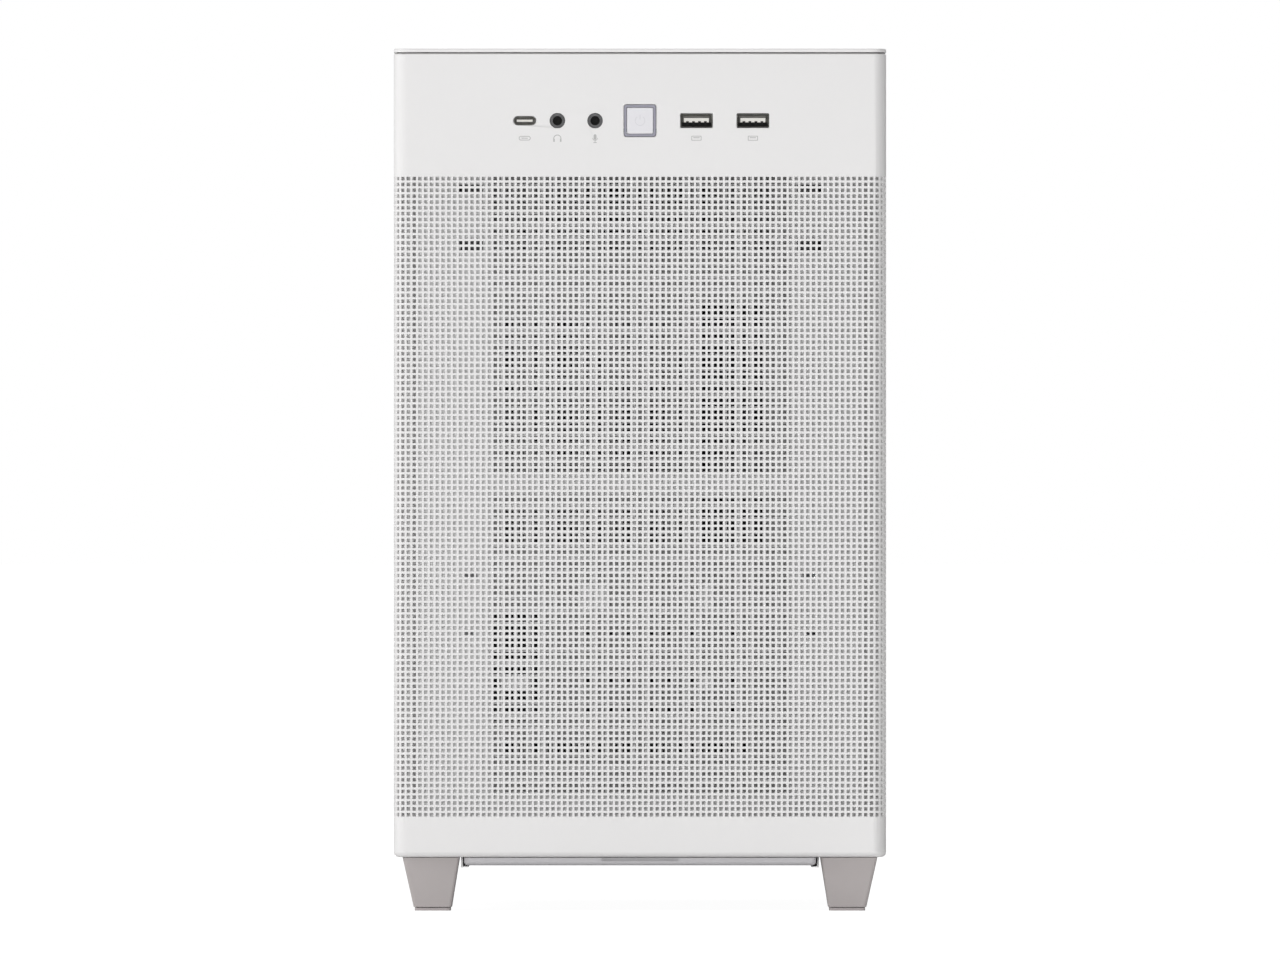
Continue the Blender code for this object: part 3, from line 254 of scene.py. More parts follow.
MATERIALS = {
    "panel_white": COAT, "chassis_white": CHASSIS, "shroud_grey": SHROUD, "foot_grey": FOOT,
    "rubber_grey": RUBBER, "filter_grey": TRAY, "filter_cloth": CLOTH, "port_metal": SHADED_SHELL,
    "jack_plastic": JACK, "ring_plastic": RING,
    "button_plastic": BUTTON, "board_black": BOARD, "board_green": GREEN, "fan_black": FAN,
    "rotor_black": ROTOR,
    "bare_steel": STEEL, "aluminium": ALUMINIUM, "supply_black": SUPPLY, "memory_white": MEMORY,
    "cable_black": CABLE,
}


# Shapes: each is a list of points and a list of faces, and a piece joins as many of them as it needs


def loops_shape(loops):
    """A closed solid through loops of points that all have the same count, capped at both ends."""
    count = len(loops[0])
    points = [tuple(p) for loop in loops for p in loop]
    faces = [tuple(range(count)), tuple(range(len(points) - count, len(points)))]
    for start in range(0, len(points) - count, count):
        for i in range(count):
            j = (i + 1) % count
            faces.append((start + i, start + j, start + j + count, start + i + count))
    return points, faces


def placed(u, v, w, axis):
    """A point from in-plane coordinates u, v and height w along the axis, keeping X, Y, Z order."""
    return {"X": (w, u, v), "Y": (u, w, v), "Z": (u, v, w)}[axis]


def extruded(outline, axis, low, high):
    return loops_shape([[placed(u, v, w, axis) for u, v in outline] for w in (low, high)])


def block(low, high):
    outline = [(low[0], low[1]), (high[0], low[1]), (high[0], high[1]), (low[0], high[1])]
    return extruded(outline, "Z", low[2], high[2])


def arc(u, v, radius, start, end, steps):
    angles = np.radians(np.linspace(start, end, steps + 1))
    return [(u + radius * math.cos(a), v + radius * math.sin(a)) for a in angles]


def rounded(u, v, width, height, radius, steps=4):
    """A rounded rectangle's outline about u, v."""
    a, b = width / 2 - radius, height / 2 - radius
    corners = ((a, -b, -90), (a, b, 0), (-a, b, 90), (-a, -b, 180))
    return [p for x, y, start in corners for p in arc(u + x, v + y, radius, start, start + 90, steps)]


def circle(u, v, radius, sides=24):
    return arc(u, v, radius, 0, 360 - 360 / sides, sides - 1)


def band(outer, inner, axis, low, high):
    """A closed ring between two outlines that have the same count."""
    count = len(outer)
    loops = [(outer, low), (outer, high), (inner, high), (inner, low)]
    points = [placed(u, v, w, axis) for outline, w in loops for u, v in outline]
    faces = []
    for k in range(4):
        for i in range(count):
            j = (i + 1) % count
            a, b = k * count, (k + 1) % 4 * count
            faces.append((a + i, a + j, b + j, b + i))
    return points, faces


def turned(profile, axis, centre, sides=32):
    """A profile of (radius, height) points turned about an axis through centre, and capped at both ends."""
    loops = []
    for radius, height in profile:
        ring = circle(0.0, 0.0, radius, sides)
        loops.append([Vector(placed(u, v, height, axis)) + Vector(centre) for u, v in ring])
    return loops_shape(loops)


def wire_ring(axis, centre, radius, thick, sides=48, around=8):
    """A torus of round wire."""
    points, faces = [], []
    for i in range(sides):
        a = 2 * math.pi * i / sides
        for j in range(around):
            b = 2 * math.pi * j / around
            reach = radius + thick * math.cos(b)
            point = placed(reach * math.cos(a), reach * math.sin(a), thick * math.sin(b), axis)
            points.append(Vector(point) + Vector(centre))
            k, m = (i + 1) % sides, (j + 1) % around
            faces.append((i * around + j, k * around + j, k * around + m, i * around + m))
    return points, faces


def smooth_path(knots, steps=6):
    """Points of a Catmull-Rom curve through the knots."""
    knots = [np.array(k, float) for k in knots]
    ends = [2 * knots[0] - knots[1], *knots, 2 * knots[-1] - knots[-2]]
    points = []
    for p0, p1, p2, p3 in zip(ends, ends[1:], ends[2:], ends[3:], strict=False):
        for t in np.arange(steps) / steps:
            linear, square, cube = p2 - p0, 2 * p0 - 5 * p1 + 4 * p2 - p3, 3 * p1 - p0 - 3 * p2 + p3
            points.append(0.5 * (2 * p1 + linear * t + square * t**2 + cube * t**3))
    return [*points, knots[-1]]


def tube(points, radius, sides=8, offset=(0.0, 0.0)):
    """Round wire along points, moved sideways by an offset in the path's own turning frame."""
    points = [Vector(p) for p in points]
    along = (points[1] - points[0]).normalized()
    across = along.orthogonal().normalized()
    loops = []
    for i, point in enumerate(points):
        ahead = (points[min(i + 1, len(points) - 1)] - points[max(i - 1, 0)]).normalized()
        across = along.rotation_difference(ahead) @ across
        along = ahead
        other = along.cross(across)
        middle = point + offset[0] * across + offset[1] * other
        angles = [2 * math.pi * k / sides for k in range(sides)]
        loops.append([middle + radius * (math.cos(a) * across + math.sin(a) * other) for a in angles])
    return loops_shape(loops)


def screw(axis, centre, radius, height):
    """A domed screw head with a round recess, standing off a face by a height that may be negative."""
    profile = [(radius, 0.0), (radius, height * 0.45), (radius * 0.82, height * 0.85),
               (radius * 0.45, height)]
    profile += [(radius * 0.40, height * 0.35), (radius * 0.02, height * 0.35)]
    return turned(profile, axis, centre, 20)


def joined(shapes):
    points, faces = [], []
    for shape_points, shape_faces in shapes:
        start = len(points)
        points += [tuple(p) for p in shape_points]
        faces += [[start + i for i in face] for face in shape_faces]
    return points, faces


# Pieces


def mesh_of(name, shapes):
    """A mesh of one or more closed shapes with their faces pointing out."""
    points, faces = joined(shapes)
    mesh = bpy.data.meshes.new(name)
    mesh.from_pydata(points, [], faces)
    bm = bmesh.new()
    bm.from_mesh(mesh)
    bmesh.ops.recalc_face_normals(bm, faces=bm.faces)
    bm.to_mesh(mesh)
    bm.free()
    return mesh


def finish_piece(mesh, mat, body, replaced=(), smooth=35):
    """Turns a mesh into a piece of the object on its body."""
    mesh.materials.clear()
    mesh.materials.append(mat)
    if smooth:
        mesh.shade_smooth()
        mesh.set_sharp_from_angle(angle=math.radians(smooth))
    ob = bpy.data.objects.new(mesh.name, mesh)
    bpy.context.scene.collection.objects.link(ob)
    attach(ob, body)
    if replaced:
        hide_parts(*replaced)
    return ob


def piece(name, shapes, mat, body="case", replaced=(), bevel=0.0):
    """A piece made of closed shapes, with small round edges where bevel is given."""
    ob = finish_piece(mesh_of(name, shapes), mat, body, replaced)
    if bevel:
        soften(ob, bevel)
    return ob


def soften(ob, width):
    modifier = ob.modifiers.new("soft_edges", "BEVEL")
    modifier.width = width
    modifier.segments = 2
    modifier.limit_method = "ANGLE"
    modifier.angle_limit = math.radians(40)
    modifier.harden_normals = True


def cut_copy(node, name, shapes, mat, smooth=0):
    """A piece that copies a CAD node's mesh with shapes cut out of it, and stands for the node."""
    source = bpy.data.objects.new("source", NODES[node].data.copy())
    bpy.context.scene.collection.objects.link(source)
    cutters = []
    for shape in shapes:
        other = bpy.data.objects.new("cutter", mesh_of("cutter", [shape]))
        bpy.context.scene.collection.objects.link(other)
        cutters.append(other)
        modifier = source.modifiers.new("cut", "BOOLEAN")
        modifier.operation = "DIFFERENCE"
        modifier.object = other
    mesh = bpy.data.meshes.new_from_object(source.evaluated_get(bpy.context.evaluated_depsgraph_get()))
    for ob in (source, *cutters):
        bpy.data.objects.remove(ob)
    mesh.name = name
    ob = finish_piece(mesh, mat, BODY_OF[node], [node], smooth)
    if smooth:
        modifier = ob.modifiers.new("even_faces", "WEIGHTED_NORMAL")
        modifier.keep_sharp = True
        modifier.weight = 90
    return ob


# Perforated sheets


def sheet_mesh(name, place, thickness, flat, front, walls):
    """A closed sheet from its outer faces and its walls, each a list of arrays of faces of one size.

    flat holds the sheet's points as u, v, and place(u, v, depth) puts them in space, outer face first. The
    bake layout has the outer faces in the left half of the unit square and the inner ones in the right.
    """
    back = len(flat)
    points = np.concatenate([place(*flat.T, 0.0), place(*flat.T, thickness)])
    spots = (flat - flat.min(axis=0)) / np.ptp(flat, axis=0).max() * 0.49 + 0.005
    spots = np.concatenate([spots, spots + 0.0002])
    groups = [(faces, 0.0) for faces in front]
    groups += [(faces[:, ::-1] + back, 0.5) for faces in front]
    groups += [(faces, 0.0) for faces in walls]
    layouts = []
    for faces, shift in groups:
        corners = spots[faces.ravel()]
        corners[:, 0] += shift
        layouts.append(corners)
    sizes = np.concatenate([np.full(len(faces), faces.shape[1]) for faces, _ in groups])
    loops = np.concatenate([faces.ravel() for faces, _ in groups])
    mesh = bpy.data.meshes.new(name)
    mesh.vertices.add(len(points))
    mesh.vertices.foreach_set("co", points.astype(np.float32).ravel())
    mesh.loops.add(len(loops))
    mesh.loops.foreach_set("vertex_index", loops.astype(np.int32))
    mesh.polygons.add(len(sizes))
    mesh.polygons.foreach_set("loop_start", (np.cumsum(sizes) - sizes).astype(np.int32))
    layout = mesh.uv_layers.new(name="OFBake")
    layout.data.foreach_set("uv", np.concatenate(layouts).astype(np.float32).ravel())
    mesh.update(calc_edges=True)
    outward = points[front[0][0, 0]] - points[front[0][0, 0] + back]
    if mesh.polygons[0].normal.dot(Vector(outward)) < 0:
        mesh.flip_normals()
    mesh.validate()
    return mesh


def edge_walls(corner, present, counts, back):
    """The walls along every cell side that has a present cell on one side only."""
    nu, nv = counts
    i, j = (a.ravel() for a in np.meshgrid(np.arange(nu), np.arange(nv), indexing="ij"))
    filled = np.zeros((nu + 2, nv + 2), bool)
    filled[i + 1, j + 1] = present
    walls = []
    for side, (di, dj) in enumerate(((0, -1), (1, 0), (0, 1), (-1, 0))):
        edge = present & ~filled[i + 1 + di, j + 1 + dj]
        start, end = corner[edge, side], corner[edge, (side + 1) % 4]
        walls.append(np.stack([end, start, start + back, end + back], axis=1))
    return walls


def cell_corners(nu, nv):
    """The four corner indices of each cell of a grid, in turning order."""
    i, j = (a.ravel() for a in np.meshgrid(np.arange(nu), np.arange(nv), indexing="ij"))
    base = i * (nv + 1) + j
    return np.stack([base, base + nv + 1, base + nv + 2, base + 1], axis=1)


def grid_lines(first, count, pitch, hole):
    """Lines of a row of cells: each cell's start, its hole's two sides, and the last cell's end."""
    starts = first + pitch * np.arange(count)
    inset = (pitch - hole) / 2
    lines = np.stack([starts, starts + inset, starts + pitch - inset], axis=1).ravel()
    return np.append(lines, starts[-1] + pitch)


def curved_sheet(name, u_lines, v_lines, place, thickness):
    """A sheet over a grid of lines in which every third cell both ways is a square hole."""
    counts = len(u_lines) - 1, len(v_lines) - 1
    u, v = np.meshgrid(u_lines, v_lines, indexing="ij")
    i, j = (a.ravel() for a in np.meshgrid(np.arange(counts[0]), np.arange(counts[1]), indexing="ij"))
    solid = ~((i % 3 == 1) & (j % 3 == 1))
    corner = cell_corners(*counts)
    flat = np.stack([u.ravel(), v.ravel()], axis=1)
    walls = edge_walls(corner, solid, counts, len(flat))
    return sheet_mesh(name, place, thickness, flat, [corner[solid]], walls)


def flat_sheet(name, start, pitch, counts, radius, sides, place, thickness, plain=None):
    """A sheet of cells with a hole of 4 or 12 sides in each, except where plain(u, v) is true."""
    nu, nv = counts
    lines = start[0] + pitch[0] * np.arange(nu + 1), start[1] + pitch[1] * np.arange(nv + 1)
    u, v = (a.ravel() for a in np.meshgrid(*lines, indexing="ij"))
    corner = cell_corners(nu, nv)
    middle_u, middle_v = u[corner].mean(axis=1), v[corner].mean(axis=1)
    closed = plain(middle_u, middle_v) if plain else np.zeros(len(corner), bool)
    angles = np.radians(225 + 360 / sides * np.arange(sides))
    hole_u = middle_u[~closed, None] + radius * np.cos(angles)
    hole_v = middle_v[~closed, None] + radius * np.sin(angles)
    flat = np.stack([np.append(u, hole_u), np.append(v, hole_v)], axis=1)
    ring = len(u) + sides * np.arange(len(hole_u))[:, None] + np.arange(sides)
    cell = corner[~closed]
    front = []
    for side in range(4):
        chain = [ring[:, (side * sides // 4 + k) % sides] for k in range(sides // 4, -1, -1)]
        front.append(np.stack([cell[:, side], cell[:, (side + 1) % 4], *chain], axis=1))
    if closed.any():
        front.append(corner[closed])
    walls = edge_walls(corner, np.ones(len(corner), bool), counts, len(flat))
    after = np.roll(ring, -1, axis=1)
    walls.append(np.stack([ring, after, after + len(flat), ring + len(flat)], axis=2).reshape(-1, 4))
    return sheet_mesh(name, place, thickness, flat, front, walls)


def upright(x=None, y=None, inward=1.0):
    """A place function for a sheet in a plane of constant X or Y, whose depth runs inwards."""
    if x is None:
        return lambda u, v, depth: np.stack([u, np.full_like(u, y + inward * depth), v], axis=1)
    return lambda u, v, depth: np.stack([np.full_like(u, x + inward * depth), u, v], axis=1)


def level(z, inward=-1.0):
    return lambda u, v, depth: np.stack([u, v, np.full_like(u, z + inward * depth)], axis=1)


SQUARE = HOLE / math.sqrt(2)


# Outer panels


def round_the_front(s, z, depth):
    """A point on the front panel from its distance s round the panel, its height and its depth."""
    flat = HIGH.x - CORNER_RADIUS
    along = np.abs(s)
    angle = np.clip((along - flat) / CORNER_RADIUS, 0.0, math.pi / 2)
    past = np.maximum(along - flat - CORNER_RADIUS * math.pi / 2, 0.0)
    radius = CORNER_RADIUS - depth
    x = np.minimum(along, flat) + radius * np.sin(angle)
    y = LOW.y + CORNER_RADIUS - radius * np.cos(angle) + past
    return np.stack([np.sign(s) * x, y, z], axis=1)


def mark_shapes(low, high):
    """The generic signs under the ports, between two depths: port outlines, headphones and a microphone."""
    shapes = [band(rounded(USB_C_X, MARK_Z, 0.0050, 0.0019, 0.00094),
                   rounded(USB_C_X, MARK_Z, 0.0043, 0.0012, 0.00059),
                   "Y", low, high)]
    shapes.append(extruded(rounded(USB_C_X, MARK_Z, 0.0026, 0.00036, 0.0001), "Y", low, high))
    for x in USB_A_X:
        outer, inner = rounded(x, MARK_Z, 0.0042, 0.0020, 0.0002), rounded(x, MARK_Z, 0.0036, 0.0014, 0.0001)
        shapes.append(band(outer, inner, "Y", low, high))
        shapes.append(extruded(rounded(x, MARK_Z + 0.0002, 0.0026, 0.00040, 0.0001), "Y", low, high))
    centre = (HEADPHONE_X, MARK_Z - 0.0002)
    bow = arc(*centre, 0.00170, 0, 180, 14) + arc(*centre, 0.00135, 180, 0, 14)
    shapes.append(extruded(bow, "Y", low, high))
    for side in (-1, 1):
        pad = rounded(HEADPHONE_X + side * 0.00140, MARK_Z - 0.00085, 0.00062, 0.0014, 0.00025)
        shapes.append(extruded(pad, "Y", low, high))
    shapes.append(extruded(rounded(MICROPHONE_X, MARK_Z + 0.0005, 0.0012, 0.0023, 0.00059), "Y", low, high))
    centre = (MICROPHONE_X, MARK_Z + 0.0001)
    bow = arc(*centre, 0.00115, 180, 360, 12) + arc(*centre, 0.00088, 360, 180, 12)
    shapes.append(extruded(bow, "Y", low, high))
    shapes.append(extruded(rounded(MICROPHONE_X, MARK_Z - 0.00135, 0.00028, 0.0009, 0.0001), "Y", low, high))
    shapes.append(extruded(rounded(MICROPHONE_X, MARK_Z - 0.00180, 0.0014, 0.00030, 0.0001), "Y", low, high))
    return shapes


def front_panel():
    bottom = FRONT_TOP_ROW - (FRONT_ROWS - 0.5) * PITCH_Z
    top = FRONT_TOP_ROW + 0.5 * PITCH_Z
    reach = (FRONT_COLUMNS + 0.5) * PITCH_X
    edge = round_the_front(np.array([reach]), np.array([0.0]), 0.0)[0][1]
    window = block((-0.2, -0.3, bottom), (0.2, edge, top))
    engraved = mark_shapes(LOW.y - 0.001, LOW.y + INK_DEPTH)
    cut_copy("front_panel", "front_panel_frame", [window, *engraved], COAT, smooth=32)
    piece("front_marks", mark_shapes(LOW.y + 0.00002, LOW.y + INK_DEPTH), INK, "front_panel")
    rows = grid_lines(bottom, FRONT_ROWS, PITCH_Z, HOLE)
    first = -FRONT_COLUMNS
    for index, count in enumerate((34, 33, 34), start=1):
        columns = grid_lines((first - 0.5) * PITCH_X, count, PITCH_X, HOLE)
        mesh = curved_sheet(f"front_panel_mesh_{index}", columns, rows, round_the_front, FRONT_SHEET)
        finish_piece(mesh, COAT, "front_panel", ["front_panel"], 32)
        first += count


def side_panel(node, side):
    """A folded side panel whose face is perforated up to a plain border."""
    low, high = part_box(node)
    outer = high.x if side > 0 else low.x
    columns = int((high.y - low.y - 2 * SIDE_BORDER) // PITCH_X)
    rows = int((high.z - low.z - 2 * SIDE_BORDER) // PITCH_Z)
    y0 = (low.y + high.y - columns * PITCH_X) / 2
    z0 = (low.z + high.z - rows * PITCH_Z) / 2
    across = sorted((outer + side * 0.01, outer - side * 0.002))
    window = block((across[0], y0, z0), (across[1], y0 + columns * PITCH_X, z0 + rows * PITCH_Z))
    cut_copy(node, f"{node}_frame", [window], COAT, smooth=32)
    first = 0
    for index in range(1, 5):
        count = columns // 4 if index < 4 else columns - first
        start = (y0 + first * PITCH_X, z0)
        mesh = flat_sheet(f"{node}_mesh_{index}", start, (PITCH_X, PITCH_Z), (count, rows), SQUARE, 4,
                          upright(x=outer, inward=-side), SHEET)
        finish_piece(mesh, COAT, node, [node], 0)
        first += count


def top_panel():
    low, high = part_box("top_panel")
    columns = int((high.x - low.x - 2 * SIDE_BORDER) // PITCH_X)
    rows = int((high.y - low.y - 2 * SIDE_BORDER) // PITCH_Z)
    x0 = (low.x + high.x - columns * PITCH_X) / 2
    y0 = (low.y + high.y - rows * PITCH_Z) / 2
    window = block((x0, y0, high.z - 0.005), (x0 + columns * PITCH_X, y0 + rows * PITCH_Z, high.z + 0.01))
    cut_copy("top_panel", "top_panel_frame", [window], COAT)
    for index, (first, count) in enumerate(((0, rows // 2), (rows // 2, rows - rows // 2)), start=1):
        start = (x0, y0 + first * PITCH_Z)
        mesh = flat_sheet(f"top_panel_mesh_{index}", start, (PITCH_X, PITCH_Z), (columns, count), SQUARE, 4,
                          level(high.z), TOP_SHEET)
        finish_piece(mesh, COAT, "top_panel", ["top_panel"], 0)


# Chassis


def front_wall():
    """The inner wall with two fields of square holes, with plain patches round its fixing points."""
    wall_y = -0.2075
    half = INNER_COUNT * INNER_PITCH / 2
    windows = []
    for z0 in INNER_FIELDS:
        top = z0 + INNER_COUNT * INNER_PITCH
        windows.append(block((-half, wall_y - 0.005, z0), (half, wall_y + 0.005, top)))
    cut_copy("chassis_front_wall", "front_wall_frame", windows, CHASSIS)
    patches = ((-0.0181, 0.1299), (0.0277, 0.1299), (-0.0506, 0.0959), (0.0277, 0.0959))

    def plain(u, v):
        near = np.zeros(len(u), bool)
        for x, z in patches:
            near |= (np.abs(u - x) < 0.0042) & (np.abs(v - z) < 0.0042)
        return near

    for index, z0 in enumerate(INNER_FIELDS, start=1):
        mesh = flat_sheet(f"front_wall_grille_{index}", (-half, z0), (INNER_PITCH, INNER_PITCH),
                          (INNER_COUNT, INNER_COUNT), INNER_HOLE / math.sqrt(2), 4, upright(y=wall_y),
                          SHEET, plain)
        finish_piece(mesh, CHASSIS, "case", ["chassis_front_wall"], 0)


def supply_shroud():
    """The plate before the power supply, its fields of holes, and a near-black sheet behind its lower half,
    painted shade seen through the holes.
    """
    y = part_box("supply_shroud")[1].y - SHEET
    fields = ((-0.0620, 0.0560, 0.2750, 0.3075), (-0.0600, 0.0200, 0.1830, 0.2465),
              (-0.0600, 0.0200, 0.1520, 0.1720), (-0.0600, 0.0500, 0.0645, 0.0735))
    windows, sheets = [], []
    for x0, x1, z0, z1 in fields:
        counts = int((x1 - x0) / SHROUD_PITCH), int((z1 - z0) / SHROUD_PITCH)
        end_x, end_z = x0 + counts[0] * SHROUD_PITCH, z0 + counts[1] * SHROUD_PITCH
        windows.append(block((x0, y - 0.002, z0), (end_x, y + 0.002, end_z)))
        sheets.append(((x0, z0), counts))
    small = []
    for z in (0.0840, 0.0957, 0.1155):
        for x in (-0.0220, -0.0118, -0.0050, 0.0055, 0.0115, 0.0220, 0.0390):
            small.append(block((x - 0.0012, y - 0.002, z - 0.0012), (x + 0.0012, y + 0.002, z + 0.0012)))
    # The plate and its hole fields share the shroud grey, which is partly painted shade
    cut_copy("supply_shroud", "supply_shroud_plate", [*windows, joined(small)], SHROUD)
    back = y + SHEET
    outer, inner = rounded(0.0, 0.1085, 0.1270, 0.1260, 0.003), rounded(0.0, 0.1085, 0.1230, 0.1220, 0.002)
    shade_sheet = [extruded(outer, "Y", back + 0.0001, back + 0.0003),
              band(outer, inner, "Y", back + 0.0001, back + 0.0005)]
    # A thin near-black sheet behind the lower holes, as painted shade
    piece("supply_shroud_shade_sheet", shade_sheet, SHADE_SHEET)
    for index, (start, counts) in enumerate(sheets, start=1):
        mesh = flat_sheet(f"supply_shroud_field_{index}", start, (SHROUD_PITCH, SHROUD_PITCH), counts,
                          SHROUD_HOLE / math.sqrt(2), 4, upright(y=y), SHEET)
        finish_piece(mesh, SHROUD, "case", ["supply_shroud"], 0)


def rear_wall():
    """The rear wall with a round fan grille, and a strip under the lid."""
    y, centre, half = 0.2245, REAR_FAN, 0.0570
    pitch = 2 * half / 20
    start = (centre[0] - half, centre[1] - half)
    window = block((start[0], y - 0.0004, start[1]), (centre[0] + half, y + 0.005, centre[1] + half))
    cut_copy("chassis_rear_wall", "rear_wall_frame", [window], CHASSIS)

    def outside(u, v):
        return np.hypot(u - centre[0], v - centre[1]) > half - pitch * 0.35

    grille = flat_sheet("rear_fan_grille", start, (pitch, pitch), (20, 20), 0.0022, 12,
                        upright(y=y + SHEET, inward=-1.0), SHEET, outside)
    finish_piece(grille, CHASSIS, "case", ["chassis_rear_wall"], 0)
    strip = block((-0.0930, y + 0.0001, 0.3505), (0.0930, y + SHEET, 0.3569))
    piece("rear_wall_strip", [strip], CHASSIS, replaced=["chassis_rear_wall"], bevel=0.0002)


def floor_vent():
    """The field of round holes in the floor, over the dust filter."""
    z = 0.0224
    counts = (22, 51)
    start = (-counts[0] * INNER_PITCH / 2, -0.190)
    window = block((start[0], start[1], z - 0.001),
                   (-start[0], start[1] + counts[1] * INNER_PITCH, z + 0.0012))
    cut_copy("chassis_floor", "chassis_floor_frame", [window], CHASSIS)
    mesh = flat_sheet("chassis_floor_grille", start, (INNER_PITCH, INNER_PITCH), counts, 0.0018, 12,
                      level(z + SHEET), SHEET)
    finish_piece(mesh, CHASSIS, "case", ["chassis_floor"], 0)


# Front ports


def front_ports():
    """Tongues, contacts and bores inside the ports, the contacts and bores near-black as painted shade, and
    the power button's ring, cap and sign.
    """
    tongues, contacts, bores = [], [], []
    for x in USB_A_X:
        y0 = LOW.y + 0.0010
        tongues.append(block((x - 0.0052, y0, PORT_Z - 0.0007), (x + 0.0052, y0 + 0.0090, PORT_Z + 0.0011)))
        bores.append(block((x - 0.0062, y0 + 0.0040, PORT_Z - 0.0025),
                           (x + 0.0062, y0 + 0.0042, PORT_Z - 0.0008)))
        for k in range(4):
            middle = x + (k - 1.5) * 0.0025
            low = (middle - 0.00055, LOW.y + 0.0008, PORT_Z - 0.0017)
            contacts.append(block(low, (middle + 0.00055, y0 + 0.0060, PORT_Z - 0.0002)))
    y0 = LOW.y + 0.0009
    tongues.append(block((USB_C_X - 0.0033, y0, PORT_Z - 0.00048),
                         (USB_C_X + 0.0033, y0 + 0.0070, PORT_Z + 0.00048)))
    for x in (HEADPHONE_X, MICROPHONE_X):
        bores.append(turned([(0.00195, LOW.y + 0.0022), (0.00195, LOW.y + 0.0026)], "Y", (x, 0.0, PORT_Z),
                            24))
    piece("port_tongues", tongues, TONGUE, bevel=0.0001)
    # Contacts and bores in near black: painted shade inside the ports
    piece("port_contacts", contacts, BORE_SHADE)
    piece("port_bores", bores, BORE_SHADE)
    outer, inner = rounded(0.0, PORT_Z, 0.0132, 0.0132, 0.0010), rounded(0.0, PORT_Z, 0.0112, 0.0112, 0.0007)
    ring = band(outer, inner, "Y", LOW.y + 0.0001, LOW.y + 0.0065)
    piece("power_button_frame", [ring], RING, replaced=["power_button_ring"], bevel=0.00012)
    cap = extruded(rounded(0.0, PORT_Z, 0.0109, 0.0109, 0.0006), "Y", LOW.y + 0.0002, LOW.y + 0.0055)
    stem = block((-0.0015, LOW.y + 0.0050, PORT_Z - 0.0015), (0.0015, LOW.y + 0.0082, PORT_Z + 0.0015))
    piece("power_button_cap", [cap, stem], BUTTON, "power_button", ["power_button"], 0.0002)
    low, high = LOW.y + 0.00012, LOW.y + 0.0004
    bow = arc(0.0, PORT_Z, 0.00215, 125, 415, 30) + arc(0.0, PORT_Z, 0.00185, 415, 125, 30)
    bar = rounded(0.0, PORT_Z + 0.00150, 0.00034, 0.0021, 0.00012)
    sign = [extruded(bow, "Y", low, high), extruded(bar, "Y", low, high)]
    piece("power_sign", sign, SYMBOL, "power_button")


# Motherboard


PORT_STACKS = (
    (0.3060, 0.3220, 0.0430, "usb"),
    (0.2840, 0.2990, 0.0470, "video"),
    (0.2610, 0.2770, 0.0430, "usb"),
    (0.2380, 0.2545, 0.0420, "network"),
    (0.2160, 0.2310, 0.0430, "usb"),
)
USB_ROWS = ((0.0450, 0.0507, 0.0131), (0.0521, 0.0578, 0.0131), (0.0592, 0.0649, 0.0131),
            (0.0663, 0.0720, 0.0131))
NETWORK_SIZE = 0.0122
OPENINGS = {
    "usb": USB_ROWS,
    "video": ((0.0490, 0.0540, 0.0133), (0.0568, 0.0618, 0.0133), (0.0655, 0.0705, 0.0133)),
    "network": ((0.0440, 0.0560, NETWORK_SIZE), *USB_ROWS[2:]),
}
PORT_END = 0.2282
SOUND_SOCKETS = (("pink", PINK_JACK, 0.1803), ("green", GREEN_JACK, 0.1910), ("blue", BLUE_JACK, 0.2017))
DIMM_Y = (0.040, 0.049, 0.058, 0.067)
SOCKET_Y = 0.115
SOCKET_Z = 0.262
SLOT_TOP = 0.1570
SLOT_STEP = 0.02032


def on_board(reach, y0, y1, z0, z1):
    """A block from the board's face out to X = reach."""
    return block((reach, y0, z0), (BOARD_X + 0.0002, y1, z1))


def board_piece(name, shapes, mat, bevel=0.0):
    """A piece that stands for a part of the motherboard."""
    piece(name, shapes, mat, replaced=["motherboard"], bevel=bevel)


def memory_sockets():
    shapes = []
    for y in DIMM_Y:
        shapes.append(on_board(0.0705, y - 0.0031, y + 0.0031, 0.1900, 0.3320))
        for side in (-1, 1):
            edge = sorted((y + side * 0.0012, y + side * 0.0031))
            shapes.append(on_board(0.0677, *edge, 0.1922, 0.3298))
        shapes.append(on_board(0.0640, y - 0.0026, y + 0.0026, 0.1882, 0.1916))
        shapes.append(on_board(0.0640, y - 0.0026, y + 0.0026, 0.3304, 0.3332))
    return shapes


def card_slots():
    shapes = []
    for i, length in ((0, 0.089), (1, 0.025), (3, 0.089)):
        z, start = SLOT_TOP - i * SLOT_STEP, 0.185 - length
        shapes.append(on_board(0.0670, start, 0.185, z - 0.0037, z + 0.0037))
        for side in (-1, 1):
            edge = sorted((z + side * 0.0011, z + side * 0.0037))
            shapes.append(on_board(0.0640, start, 0.185, *edge))
        shapes.append(on_board(0.0640, 0.1735, 0.1750, z - 0.0037, z + 0.0037))
        if length > 0.05:
            shapes.append(on_board(0.0625, start - 0.0050, start - 0.0004, z - 0.0028, z + 0.0028))
    return shapes


